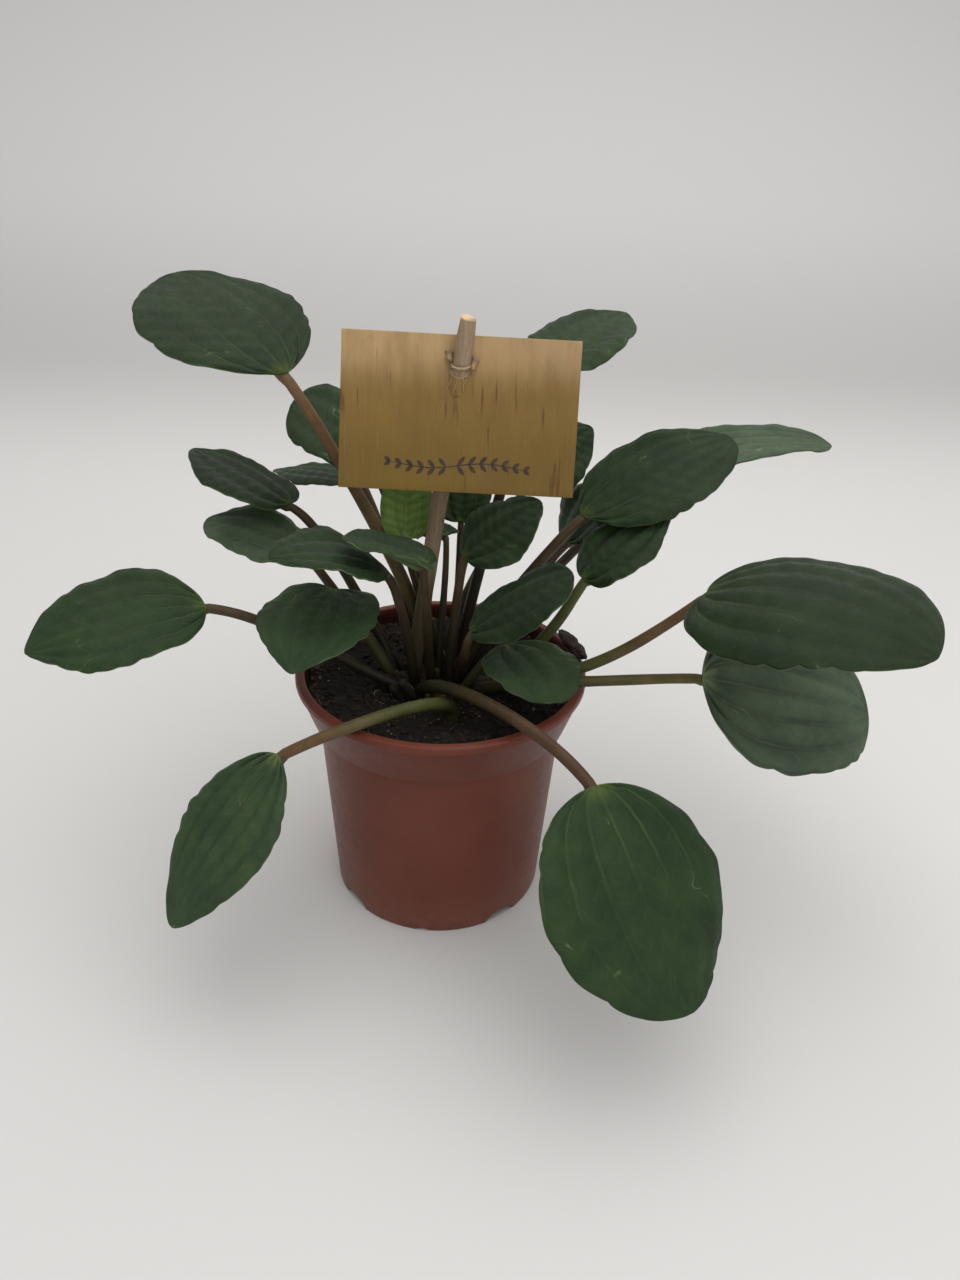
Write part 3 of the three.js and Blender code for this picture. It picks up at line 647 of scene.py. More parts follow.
# %% Blade formula
def blade_point(leaf, frame_of, share, sweep, seed):
    """A point on the middle of the blade and the way out of its upper face, in mm."""
    opened = math.sin(sweep)
    along = (1 - math.cos(sweep)) / 2
    back = leaf["lobe"] * abs(share) ** 1.5 * opened * ((1 + math.cos(sweep)) / 2) ** 2
    out = blade_reach(leaf, share, sweep, seed)
    turn = frame_of["bend"] * (along - back)
    radius = frame_of["length"] / frame_of["bend"]
    cup, half = math.radians(leaf["cup"]), leaf["width"] / 2
    if cup:
        sideways, lift = half * math.sin(cup * out) / cup, half * (1 - math.cos(cup * out)) / cup
    else:
        sideways, lift = half * out, 0.0
    ahead = frame_of["ahead"] * math.cos(turn) + frame_of["face"] * math.sin(turn)
    face = frame_of["face"] * math.cos(turn) - frame_of["ahead"] * math.sin(turn)
    aside, further = (reach * along ** TIP_STEEPNESS
                      for reach in TIPS.get(leaf["name"], PLAIN_TIP)[2:])
    point = (frame_of["base"] + frame_of["ahead"] * (radius * math.sin(turn))
             + frame_of["face"] * (radius * (1 - math.cos(turn)))
             + frame_of["across"] * (sideways + aside) + ahead * further
             + face * (lift + blade_relief(leaf, share, sweep, seed)))
    normal = face * math.cos(cup * out) - frame_of["across"] * math.sin(cup * out)
    return point, normal


tip, _ = blade_point(LEAVES[0], midrib_frame(LEAVES[0]), 0.0, math.pi, 0.0)
print("tip of", LEAVES[0]["name"], "in mm:", [round(c, 1) for c in tip])

# %% [markdown]
# ## The finish of a blade
# The upper face is a dark waxy green in cloudy patches, some of them bluer. Its grooves are
# darkened with painted shade. The fine veins in them are paler near the joint and fade towards
# the tip, the joint itself is flushed with yellow, and fainter side veins slant off between them.
# All these lines are drawn from the UV map, which runs from margin to margin and from joint to
# tip, and each line's distance is turned into millimetres so that it keeps its width where the
# blade narrows. A little noise makes them sway.

# %% Vein net
def distance_to_line(group, walk):
    """How far a value that grows by one from line to line is from the nearest line."""
    nearest = math_node(group, "ROUND", walk)
    return math_node(group, "ABSOLUTE", math_node(group, "SUBTRACT", walk, nearest))


def make_vein_net():
    group, given, result = start_group(
        "vein net",
        [("UV", "NodeSocketVector", None), ("Place", "NodeSocketVector", None),
         ("Bands", "NodeSocketFloat", 3.0), ("Half width mm", "NodeSocketFloat", 30.0)],
        [("Main veins", "NodeSocketFloat"), ("Grooves", "NodeSocketFloat"),
         ("Side veins", "NodeSocketFloat"), ("Along", "NodeSocketFloat"),
         ("Aside", "NodeSocketFloat")])
    parts = add_node(group, "ShaderNodeSeparateXYZ", {"Vector": given.outputs["UV"]})
    along = parts.outputs["Y"]
    from_midrib = math_node(group, "MULTIPLY_ADD", parts.outputs["X"], 2.0, -1.0)
    share = math_node(group, "ABSOLUTE", from_midrib)
    product = math_node(group, "MULTIPLY", along, math_node(group, "SUBTRACT", 1.0, along))
    opened = math_node(group, "MULTIPLY", math_node(group, "POWER", product, 0.5), 2.0)
    wander = add_node(group, "ShaderNodeTexNoise", {
        "Vector": given.outputs["Place"], "Scale": 55.0, "Detail": 2.0})
    sway = math_node(group, "SUBTRACT", wander.outputs[0], 0.5)
    broken = ease(group, wander.outputs[0], 0.35, 0.6, 0.3, 1.0)
    bands = math_node(group, "MULTIPLY", share, given.outputs["Bands"])
    off = distance_to_line(group, math_node(group, "MULTIPLY_ADD", sway, 0.22, bands))
    scale = math_node(group, "DIVIDE", given.outputs["Half width mm"], given.outputs["Bands"])
    distance = math_node(group, "MULTIPLY", math_node(group, "MULTIPLY", off, scale), opened)
    line = ease(group, distance, 0.1, 0.95, 1.0, 0.0)
    groove = ease(group, distance, 0.3, 2.2, 1.0, 0.0)
    slanted = math_node(group, "SUBTRACT", math_node(group, "MULTIPLY", along, 11.0),
                        math_node(group, "MULTIPLY", off, 1.7))
    off_side = distance_to_line(group, math_node(group, "MULTIPLY_ADD", sway, 1.8, slanted))
    found = {"Main veins": math_node(group, "MULTIPLY", line, broken),
             "Grooves": math_node(group, "MULTIPLY", groove, broken),
             "Side veins": ease(group, off_side, 0.03, 0.13, 1.0, 0.0),
             "Along": along, "Aside": math_node(group, "MULTIPLY", share, opened)}
    for name, value in found.items():
        group.links.new(value, result.inputs[name])
    return group


VEIN_NET = make_vein_net()
print("vein net gives", outputs_of(VEIN_NET))

# %% [markdown]
# Two numbers ride on each blade's mesh as attributes, so that one finish serves many leaves:
# `tone` is the painted light and shade that make a leaf lighter or darker than its neighbours,
# and the other how dark the painted shade in its grooves is.
# A darker leaf is also a richer green. Small pale specks and short scrawls are grazed skin.

# %% Blade finish
DARK_GREEN, MOSS_GREEN, BLOOM_GREEN = rgb(34, 52, 29), rgb(47, 66, 36), rgb(46, 62, 44)
# The first green below is painted shade for the grooves, the second grazed skin.
GROOVE_SHADE_GREEN, SCAR_GREEN = rgb(24, 38, 22), rgb(138, 150, 120)


def attribute_of(tree, name):
    """A number that each piece holds on its mesh."""
    return add_node(tree, "ShaderNodeAttribute", attribute_name=name).outputs["Fac"]


def add_groove_shade(tree, colour, veins, groove):
    """Painted shade in the grooves along the main veins, which dies out towards the tip."""
    along = veins.outputs["Along"]
    groove_shade_strength = math_node(tree, "MULTIPLY", attribute_of(tree, "groove_shade_strength"), veins.outputs["Grooves"])
    # Painted shade in the grooves: strong until past the middle of the blade, faint at its tip.
    sunk = math_node(tree, "MULTIPLY", groove_shade_strength, ease(tree, along, 0.55, 0.95, groove, 0.05))
    return mix_colours(tree, sunk, colour, GROOVE_SHADE_GREEN)


def add_flush(tree, colour, veins, flush):
    """The yellow flush round the joint."""
    near = math_node(tree, "MULTIPLY", ease(tree, veins.outputs["Along"], 0.0, 0.1, 0.65, 0.0),
                     ease(tree, veins.outputs["Aside"], 0.02, 0.25, 0.75, 0.0))
    return mix_colours(tree, near, colour, flush)


def add_scars(tree, colour, place, patches, skin, flush):
    """Pale specks, and short scrawls where the skin was grazed."""
    speck = add_node(tree, "ShaderNodeTexVoronoi", {"Vector": place, "Scale": 95.0})
    dot = math_node(tree, "MULTIPLY", ease(tree, speck.outputs["Distance"], 0.04, 0.08, 1.0, 0.0),
                    ease(tree, skin.outputs["Clouds"], 0.6, 0.85))
    colour = mix_colours(tree, math_node(tree, "MULTIPLY", dot, 0.4), colour, flush)
    drift = add_node(tree, "ShaderNodeTexNoise", {"Vector": place, "Scale": 60.0}).outputs[0]
    squiggle = math_node(tree, "ABSOLUTE", math_node(tree, "SUBTRACT", drift, 0.5))
    scrawl = math_node(tree, "MULTIPLY", ease(tree, squiggle, 0.002, 0.01, 0.35, 0.0),
                       ease(tree, patches.outputs["Clouds"], 0.88, 1.0))
    return mix_colours(tree, scrawl, colour, SCAR_GREEN)


def make_blade_finish(name, bands, half_width, dark, light, flush, vein, groove=0.4):
    """The upper face of a blade: two greens in patches, painted shade in the grooves, pale veins, a
    flush.
    """
    material, tree, shader = start_material(
        name, Specular_IOR_Level=0.16, Sheen_Weight=0.03, Sheen_Roughness=0.6,
        Subsurface_Weight=0.06, Subsurface_Scale=0.002)
    place = place_of(tree)
    veins = use_group(tree, VEIN_NET, {
        "UV": add_node(tree, "ShaderNodeUVMap").outputs["UV"], "Place": place,
        "Bands": float(bands), "Half width mm": float(half_width)})
    patches, bloom, skin = (use_group(tree, MOTTLE, {"Place": place, "Size mm": size})
                            for size in (16.0, 38.0, 2.2))
    colour = mix_colours(tree, patches.outputs["Clouds"], dark, light)
    bluer = math_node(tree, "MULTIPLY", bloom.outputs["Clouds"], 0.3)
    colour = mix_colours(tree, bluer, colour, BLOOM_GREEN)
    colour = add_groove_shade(tree, colour, veins, groove)
    side = math_node(tree, "MULTIPLY", veins.outputs["Side veins"], 0.04)
    colour = mix_colours(tree, side, colour, vein)
    main = math_node(tree, "MULTIPLY", veins.outputs["Main veins"],
                     ease(tree, veins.outputs["Along"], 0.0, 0.6, 0.55, 0.07))
    colour = mix_colours(tree, main, colour, vein)
    colour = add_flush(tree, colour, veins, flush)
    colour = add_scars(tree, colour, place, patches, skin, flush)
    tone = attribute_of(tree, "tone")
    rich = math_node(tree, "MULTIPLY_ADD", tone, -0.3, 1.38)
    shade = add_node(tree, "ShaderNodeHueSaturation", {
        "Color": colour, "Saturation": rich, "Value": tone}).outputs["Color"]
    rough = ease(tree, patches.outputs["Fine"], 0.3, 0.7, 0.4, 0.55)
    height = math_node(tree, "MULTIPLY_ADD", veins.outputs["Side veins"], -0.16,
                       math_node(tree, "MULTIPLY", skin.outputs["Fine"], 0.3))
    height = math_node(tree, "MULTIPLY_ADD", main, -0.8, height)
    finish_material(tree, shader, shade, rough, height, depth=0.45)
    return material


VEIN_GREEN, FLUSH_GREEN = rgb(88, 106, 68), rgb(102, 116, 62)
BIG_BLADE = make_blade_finish("leaf green, broad", 3, 31, DARK_GREEN, MOSS_GREEN, FLUSH_GREEN,
                              VEIN_GREEN)
SMALL_BLADE = make_blade_finish("leaf green, small", 2, 20, DARK_GREEN, MOSS_GREEN, FLUSH_GREEN,
                                VEIN_GREEN)
YOUNG_BLADE = make_blade_finish("young leaf green", 2, 12, rgb(84, 108, 52), rgb(102, 128, 64),
                                rgb(136, 152, 86), rgb(128, 148, 88), groove=0.15)
print("upper faces:", [m.name for m in (BIG_BLADE, SMALL_BLADE, YOUNG_BLADE)])

# %% [markdown]
# The lower face and the cut edge are paler and plainer, so they are materials of their own,
# which the Solidify modifier deals out when it gives the blade its thickness.

# %% Underside and margin
def make_plain_green(name, first, second, roughness):
    """A soft two-tone green, for the lower face and the cut edge."""
    material, tree, shader = start_material(name, Specular_IOR_Level=0.35)
    clouds = use_group(tree, MOTTLE, {"Place": place_of(tree), "Size mm": 9.0})
    colour = mix_colours(tree, clouds.outputs["Clouds"], first, second)
    rough = ease(tree, clouds.outputs["Fine"], 0.3, 0.7, roughness - 0.05, roughness + 0.08)
    finish_material(tree, shader, colour, rough, clouds.outputs["Fine"], depth=0.12)
    return material


UNDERSIDE = make_plain_green("leaf underside", rgb(78, 98, 66), rgb(94, 112, 76), 0.5)
LEAF_RIM = make_plain_green("leaf margin", rgb(60, 76, 48), rgb(80, 98, 62), 0.5)
print("plainer greens:", UNDERSIDE.name, "and", LEAF_RIM.name)

# %% [markdown]
# A blade's net is drawn together at the joint and at the tip, where its corners weld. Its UV
# map is then stretched along the blade to match the vein net's measure. Each leaf's tone was
# set one by one, because some stand in the light and some in the shade of others.

# %% Blades
YOUNG = {"young_upright"}        # the one leaf that is still bright
BLADE_THICKNESS = 0.7
TONES = dict(right_big=0.66, top_left=0.69, left_upper=0.68, front_left=1.5, left_round=1.25,
             young_upright=1.1, left_middle=2.2, left_inner=0.82, right_low=2.4, far_right_top=2.2,
             centre_right=0.67, right_upper=0.74, right_middle=0.76, front_right_inner=0.48,
             front_right_low=0.92)


def make_blade(leaf, seed):
    """One blade: a net drawn together at joint and tip, then given its thickness."""
    grid = leaf["grid"]
    frame_of = midrib_frame(leaf)
    mesh = bmesh.new()

    def on_blade(across, along):
        point, _ = blade_point(leaf, frame_of, 2 * across - 1, math.pi * along, seed)
        return point * MM

    carry_net(mesh, grid["columns"], grid["rows"], on_blade)
    bmesh.ops.reverse_faces(mesh, faces=mesh.faces)
    uv = mesh.loops.layers.uv.verify()
    for face in mesh.faces:
        for loop in face.loops:
            loop[uv].uv.y = (1 - math.cos(math.pi * loop[uv].uv.y)) / 2
    top, slot = BIG_BLADE if grid is BIG else SMALL_BLADE, "blade"
    if leaf["name"] in YOUNG:
        top, slot = YOUNG_BLADE, "young_blade"
    piece = finish_piece("leaf_" + leaf["name"], mesh, [top, UNDERSIDE, LEAF_RIM],
                         ["blade_" + leaf["name"]], outwards=False)
    for attribute, table in (("tone", TONES), ("groove_shade_strength", RIBBED)):
        held = piece.data.attributes.new(attribute, "FLOAT", "POINT")
        held.data.foreach_set("value", [table.get(leaf["name"], 1.0)] * len(piece.data.vertices))
    solid = piece.modifiers.new("thickness", "SOLIDIFY")
    solid.thickness = BLADE_THICKNESS * MM
    solid.offset = 0.0
    solid.material_offset = 1
    solid.material_offset_rim = 2
    return piece


blades = [make_blade(leaf, 1.7 * i) for i, leaf in enumerate(LEAVES)]
print("blades:", len(blades), "faces:", sum(len(b.data.polygons) for b in blades))

# %% [markdown]
# ## The finish of a stalk
# A stalk's colour runs along it by the UV map: olive or brown near the crown, often redder at
# the blade, and green again where it goes on as the keel under the blade. Its foot is darkened
# by painted shade among the crown's stalks. Clouds and short fibres break the colour up.

# %% Stalk finishes
KEEL_GREEN = rgb(88, 106, 66)


def make_stalk_finish(name, low, high, change=0.2, foot=(0.04, 0.2, 0.5)):
    """A fleshy stalk: low by the crown, and from the share `change` on towards high.

    foot says from where to where along the stalk the painted shade by the crown clears, and how
    dark it starts.
    """
    foot_shade_from, foot_shade_to, foot_shade_value = foot
    material, tree, shader = start_material(
        name, Specular_IOR_Level=0.25, Subsurface_Weight=0.05, Subsurface_Scale=0.002)
    place = place_of(tree)
    uv = add_node(tree, "ShaderNodeUVMap").outputs["UV"]
    along = add_node(tree, "ShaderNodeSeparateXYZ", {"Vector": uv}).outputs["Y"]
    clouds = use_group(tree, MOTTLE, {"Place": place, "Size mm": 7.0})
    fibres = use_group(tree, STREAKS, {"Place": place, "Width mm": 0.7, "Length mm": 9.0})
    colour = mix_colours(tree, ease(tree, along, change, 0.76), low, high)
    colour = mix_colours(tree, ease(tree, along, 0.74, 0.82), colour, KEEL_GREEN)
    tint = math_node(tree, "MULTIPLY_ADD", clouds.outputs["Clouds"], 0.35,
                     math_node(tree, "MULTIPLY", fibres.outputs["Streaks"], 0.2))
    # Painted shade: darkest at the foot among the crown's stalks, clearing further up.
    value = math_node(tree, "MULTIPLY", math_node(tree, "ADD", tint, 0.72),
                      ease(tree, along, foot_shade_from, foot_shade_to, foot_shade_value, 1.0))
    shade = add_node(tree, "ShaderNodeHueSaturation", {
        "Color": colour, "Value": value}).outputs["Color"]
    rough = ease(tree, clouds.outputs["Fine"], 0.3, 0.7, 0.38, 0.55)
    height = math_node(tree, "MULTIPLY_ADD", fibres.outputs["Streaks"], 0.6,
                       math_node(tree, "MULTIPLY", clouds.outputs["Fine"], 0.4))
    finish_material(tree, shader, shade, rough, height, depth=0.25)
    return material


STALKS = {
    "olive": make_stalk_finish("olive stalk", rgb(58, 56, 28), rgb(96, 88, 48)),
    "rosy": make_stalk_finish("rosy stalk", rgb(84, 74, 42), rgb(116, 88, 60)),
    "russet": make_stalk_finish("russet stalk", rgb(48, 46, 24), rgb(84, 60, 40),
                                foot=(0.04, 0.24, 0.4)),
    "brown": make_stalk_finish("brown stalk", rgb(40, 34, 20), rgb(74, 58, 38)),
    "green": make_stalk_finish("green stalk", rgb(66, 68, 32), rgb(84, 90, 48)),
    "mossy": make_stalk_finish("mossy stalk", rgb(74, 76, 37), rgb(106, 78, 55),
                               change=0.42, foot=(0.1, 0.3, 0.33)),
}
STALK_OF = {
    "front_left": "mossy", "front_right": "russet", "top_left": "rosy", "right_big": "mossy",
    "right_low": "olive", "left_round": "olive", "front_right_low": "olive",
    "right_middle": "green", "back_right_small": "olive",
}
print("stalk finishes:", list(STALKS), "- all other stalks are brown")

# %% [markdown]
# ## The stalks
# A stalk is round and fleshy, thickest at the crown, and goes on as the midrib under its
# blade. Its centre line is the same curve as the solid's, followed by the midrib's underside,
# and a net is rolled round it. Just before the joint it dives under the blade, so that the
# blade lies on it. Small swellings keep it from looking drawn.

# %% Stalks
ROOT_LEVEL = 99.0                # where a stalk starts to lean, above the crown
ROOT_DEPTH = 13.0                # its upright foot, down into the crown
FOOT_FLARE = 0.22                # how much thicker it is where it starts to lean
DIVE_FROM = 0.8                  # the share of the stalk from which it dives under the blade
JOINT_SINK = 0.75                # how deep it is there, as a share of its radius
KEEL_SHARE = 0.62                # how far the stalk goes on under the blade
KEEL_END = 0.25                  # its radius at the end
STALK_SIDES = 16
STALK_STEPS = 44
KEEL_STEPS = 14


def bezier(points, t):
    """A point of a curve with two handles."""
    weights = [(1 - t) ** 3, 3 * t * (1 - t) ** 2, 3 * t * t * (1 - t), t ** 3]
    return sum((p * w for p, w in zip(points, weights)), Vector((0, 0, 0)))


def make_stalk(leaf, seed):
    """A stalk from its foot in the crown to its end as a keel under the blade."""
    thick, thin = leaf["stem"]
    points = [Vector((*leaf["root"], ROOT_LEVEL))]
    points += [Vector(leaf[key]) for key in ("first", "second", "base")]
    centres = [points[0] - UP * ROOT_DEPTH, points[0] - UP * 0.4 * ROOT_DEPTH]
    radii = [thick, thick]
    frame_of = midrib_frame(leaf)
    for i in range(STALK_STEPS):
        t = i / STALK_STEPS
        dive = max(0.0, (t - DIVE_FROM) / (1 - DIVE_FROM)) ** 2 * JOINT_SINK * thin
        centres.append(bezier(points, t) - frame_of["face"] * dive)
        swell = 1 + 0.05 * noise.noise(Vector((9 * t, seed, 0.0)))
        flare = FOOT_FLARE * math.exp(-t / 0.06)
        radii.append((thick + (thin - thick) * t) * (swell + flare))
    for i in range(KEEL_STEPS + 1):
        t = i / KEEL_STEPS
        sweep = math.acos(1 - 2 * KEEL_SHARE * (0.012 + 0.988 * t))
        point, normal = blade_point(leaf, frame_of, 0.0, sweep, seed)
        radius = thin * (1 - t) ** 1.3 + KEEL_END
        sunk = BLADE_THICKNESS / 2 + radius * min(1.0, JOINT_SINK + 6 * t)
        centres.append(point - normal * sunk)
        radii.append(radius)
    mesh = bmesh.new()
    tube(mesh, [c * MM for c in centres], [r * MM for r in radii], STALK_SIDES)
    finish = STALKS[STALK_OF.get(leaf["name"], "brown")]
    return finish_piece("stalk_" + leaf["name"], mesh, [finish],
                        ["petiole_" + leaf["name"]])


stalks = [make_stalk(leaf, 1.7 * i) for i, leaf in enumerate(LEAVES)]
print("stalks:", len(stalks))

# %% [markdown]
# ## The pot
# A nursery pot is one thin moulding, so it is one profile spun about the axis: rolled lip,
# flared band, small step, tapering wall, and the floor with its raised ring. The drainage
# arches are made by lifting the skirt's lower edge along half an ellipse at each bearing, by
# turns a wide arch and a small one.

# %% Pot profile
POT = dict(height=105, lip_radius=60, lip_width=4, band_top=101, band_bottom=84,
           band_bottom_radius=53.4, body_top_radius=51, base_radius=45.5, wall=1.4,
           foot_radius=29, floor_lift=4.2, notches=8, notch_width=15, small_notch_width=5,
           notch_turn=37, notch_height=4.1, drain_radius=3.2, drain_circle=37)
POT_STEPS = 240


def pot_profile():
    """The wall's outline in [radius, height], from the axis under the floor round to its top."""
    base, foot, lift = POT["base_radius"], POT["foot_radius"], POT["floor_lift"]
    band, low, high = POT["band_bottom_radius"], POT["band_bottom"], POT["band_top"]
    lip, top, body, wall = POT["lip_radius"], POT["height"], POT["body_top_radius"], POT["wall"]
    skirt, mouth, floor = base - 1.6, lip - POT["lip_width"], lift + 1.8
    under = [(0, 0), (foot, 0), (foot + 2, lift), (skirt - 1, lift), (skirt, 0), (base - 0.4, 0)]
    outside = [(base, 1), (base + 0.35, 6.2), (body, low - 1), (band - 0.4, low), (band, low + 1),
               (lip - 1, high), (lip, high + 1), (lip, top - 1)]
    rim = [(lip - 0.5, top - 0.2), (lip - 1.2, top), (lip - 3.2, top), (lip - 3.8, top - 0.4)]
    inside = [(mouth, top - 1.2), (mouth, high), (band - wall, low + 2), (body - wall, low - 1),
              (base - wall - 0.2, lift + 3), (base - wall - 1.6, floor), (foot + 1, floor),
              (foot - 1, 2), (0, 2)]
    return under + outside + rim + inside


def arch_height(bearing):
    """How high the skirt's edge is cut at a bearing in degrees, in mm."""
    step = 360 / POT["notches"]
    highest = 0.0
    for i in range(POT["notches"]):
        width = POT["small_notch_width"] if i % 2 else POT["notch_width"]
        off = (bearing - POT["notch_turn"] - i * step + 180) % 360 - 180
        aside = math.radians(off) * POT["base_radius"] / (width / 2)
        if abs(aside) < 1:
            highest = max(highest, POT["notch_height"] * width / POT["notch_width"]
                          * math.sqrt(1 - aside * aside))
    return highest


print("profile corners:", len(pot_profile()), "- arch at its bearing:",
      arch_height(POT["notch_turn"]), "mm high")

# %% [markdown]
# The plastic is a dull brick red, a little cloudy, with faint upright flow lines from the
# mould. Pale dust lies on its lowest part, painted shade makes the flared band a little darker
# against the light it catches from the floor, and the inner wall is darker between the peat's
# level and the lip.

# %% Pot finish
def make_pot_finish():
    material, tree, shader = start_material("terracotta plastic", Specular_IOR_Level=0.26)
    place, height = place_of(tree), height_of(tree)
    clouds = use_group(tree, MOTTLE, {"Place": place, "Size mm": 32.0})
    flow = use_group(tree, STREAKS, {"Place": place, "Width mm": 2.6, "Length mm": 70.0})
    colour = mix_colours(tree, clouds.outputs["Clouds"], rgb(103, 50, 36), rgb(113, 57, 42))
    faint = math_node(tree, "MULTIPLY", flow.outputs["Streaks"], 0.16)
    colour = mix_colours(tree, faint, colour, rgb(98, 52, 42))
    dust = math_node(tree, "MULTIPLY", ease(tree, height, 0.028, 0.0, 0.0, 0.5),
                     clouds.outputs["Fine"])
    colour = mix_colours(tree, dust, colour, rgb(150, 104, 88))
    # Painted shade on the flared band, against the light it catches from the floor.
    band = math_node(tree, "MULTIPLY", ease(tree, height, 0.0842, 0.085, 0.0, 0.15),
                     ease(tree, height, 0.1015, 0.101))
    colour = mix_colours(tree, band, colour, rgb(70, 34, 26))
    flat = add_node(tree, "ShaderNodeVectorMath", {0: place, 1: (1, 1, 0)}, operation="MULTIPLY")
    out = add_node(tree, "ShaderNodeVectorMath", {0: flat.outputs[0]}, operation="LENGTH")
    # The inner wall is darker between the peat's level and the lip.
    below_lip = math_node(tree, "MULTIPLY", ease(tree, height, 0.0945, 0.0955),
                          ease(tree, height, 0.104, 0.102))
    inside = math_node(tree, "MULTIPLY", below_lip,
                       ease(tree, out.outputs["Value"], 0.0558, 0.0564, 0.85, 0.0))
    colour = mix_colours(tree, inside, colour, rgb(44, 27, 22))
    rough = ease(tree, clouds.outputs["Fine"], 0.35, 0.65, 0.36, 0.42)
    finish_material(tree, shader, colour, rough, clouds.outputs["Fine"], depth=0.02)
    return material


PLASTIC = make_pot_finish()
print("pot finish:", PLASTIC.name)

# %% [markdown]
# The profile is spun once round. The drain holes are the one thing that a spin can't make, so
# eight short cylinders are cut out of the floor by a Boolean modifier, whose result becomes
# the pot's mesh. A narrow bevel on the sharp edges then catches the light as moulded plastic
# does.

# %% Pot
DRAIN_SIDES, DRAIN_DEPTH = 32, 6


def cut_drains(piece):
    """Cuts a round drain hole behind each arch, through the floor's raised ring."""
    mesh = bmesh.new()
    for i in range(POT["notches"]):
        bearing = math.radians(POT["notch_turn"] + i * 360 / POT["notches"])
        centre = Vector((POT["drain_circle"] * math.cos(bearing),
                         POT["drain_circle"] * math.sin(bearing), POT["floor_lift"] + 1)) * MM
        bmesh.ops.create_cone(mesh, cap_ends=True, segments=DRAIN_SIDES, depth=DRAIN_DEPTH * MM,
                              radius1=POT["drain_radius"] * MM, radius2=POT["drain_radius"] * MM,
                              matrix=Matrix.Translation(centre))
    data = bpy.data.meshes.new("drains")
    mesh.to_mesh(data)
    mesh.free()
    drains = bpy.data.objects.new("drains", data)
    scene.collection.objects.link(drains)
    cut = piece.modifiers.new("drains", "BOOLEAN")
    cut.object = drains
    cut.solver = "EXACT"
    whole = piece.evaluated_get(bpy.context.evaluated_depsgraph_get())
    uncut = piece.data
    piece.data = bpy.data.meshes.new_from_object(whole)
    piece.modifiers.remove(cut)
    bpy.data.objects.remove(drains)
    for spare in (data, uncut):
        bpy.data.meshes.remove(spare)


def make_pot():
    mesh = bmesh.new()
    corners = [mesh.verts.new((r * MM, 0, z * MM)) for r, z in pot_profile()]
    edges = [mesh.edges.new(pair) for pair in zip(corners, corners[1:])]
    bmesh.ops.spin(mesh, geom=corners + edges, cent=(0, 0, 0), axis=(0, 0, 1),
                   angle=2 * math.pi, steps=POT_STEPS, use_merge=True)
    bmesh.ops.remove_doubles(mesh, verts=mesh.verts, dist=WELD)
    for corner in mesh.verts:
        radius = corner.co.xy.length / MM
        if radius > POT["base_radius"] - 1.9 and corner.co.z < 1.5 * MM:
            bearing = math.degrees(math.atan2(corner.co.y, corner.co.x))
            corner.co.z = max(corner.co.z, arch_height(bearing) * MM)
    piece = finish_piece("nursery_pot", mesh, [PLASTIC], ["pot"])
    cut_drains(piece)
    piece.data.set_sharp_from_angle(angle=math.radians(30))
    edge = piece.modifiers.new("soft edges", "BEVEL")
    edge.width = 0.35 * MM
    edge.segments = 2
    edge.limit_method = "ANGLE"
    edge.angle_limit = math.radians(28)
    return piece


pot = make_pot()
print("pot:", len(pot.data.polygons), "faces")

# %% [markdown]
# ## The potting mix
# Damp peat is almost black and crumbly. Its surface is a round net, lower towards the crown,
# pushed up and down by noise of two sizes, with its sides drawn down inside the pot as one
# extruded ring after another. The noise is worked out in a function of its own, because the
# crumbs that lie on the peat have to find its surface too.

# %% Peat
SOIL_TOP = 99.5                  # at the wall
SOIL_HOLLOW = 4.2                # how far it sinks towards the crown
SOIL_RADIUS = 55.0
SOIL_SIDES = [(54.3, 96.5), (51.3, 87.0), (49.0, 82.0), (43.5, 9.0), (40.0, 6.5)]


def soil_height(x, y):
    """The height of the peat's surface at a place in mm."""
    spot = Vector((x, y, 0)) * MM
    out = math.hypot(x, y) / SOIL_RADIUS
    sunk = SOIL_HOLLOW * (1 - min(1.0, out) ** 4) + 0.8 * max(0.0, out - 0.93) / 0.07
    return SOIL_TOP - sunk + 1.5 * bumpy(spot, 9.0) + 0.7 * bumpy(spot, 2.6, 4.0)


def make_peat_finish(name, dark, light, roughness):
    """A crumbly, grainy finish in two tones, which bark, grit and torn fibre use too."""
    material, tree, shader = start_material(name, Specular_IOR_Level=0.35)
    grains = use_group(tree, MOTTLE, {"Place": place_of(tree), "Size mm": 1.6})
    colour = mix_colours(tree, grains.outputs["Clouds"], dark, light)
    rough = ease(tree, grains.outputs["Clouds"], 0.2, 0.8, roughness, roughness + 0.15)
    finish_material(tree, shader, colour, rough, grains.outputs["Fine"], depth=0.5)
    return material


PEAT = make_peat_finish("damp peat", rgb(16, 13, 11), rgb(38, 30, 25), 0.72)


def make_peat():
    mesh = bmesh.new()

    def on_disc(across, along):
        turn, radius = 2 * math.pi * across, SOIL_RADIUS * along
        x, y = radius * math.cos(turn), radius * math.sin(turn)
        return Vector((x, y, soil_height(x, y))) * MM

    carry_net(mesh, 168, 56, on_disc)
    rim = [edge for edge in mesh.edges if edge.is_boundary]
    for radius, height in SOIL_SIDES:
        drawn = bmesh.ops.extrude_edge_only(mesh, edges=rim)["geom"]
        for corner in [v for v in drawn if isinstance(v, bmesh.types.BMVert)]:
            corner.co.xy = corner.co.xy.normalized() * radius * MM
            corner.co.z = height * MM
        rim = [e for e in drawn if isinstance(e, bmesh.types.BMEdge) and e.is_boundary]
    bmesh.ops.holes_fill(mesh, edges=rim, sides=0)
    return finish_piece("peat", mesh, [PEAT], ["soil"])


peat = make_peat()
print("peat:", len(peat.data.polygons), "faces")

# %% [markdown]
# Loose crumbs, pale grit and bits of fibre lie on the peat, pale fuzz stands at the crown, and
# finer crumbs cling along the rim. Each is one small ball of 20 faces, stretched, turned and
# made uneven by a seeded random draw, so that it comes out the same every time.

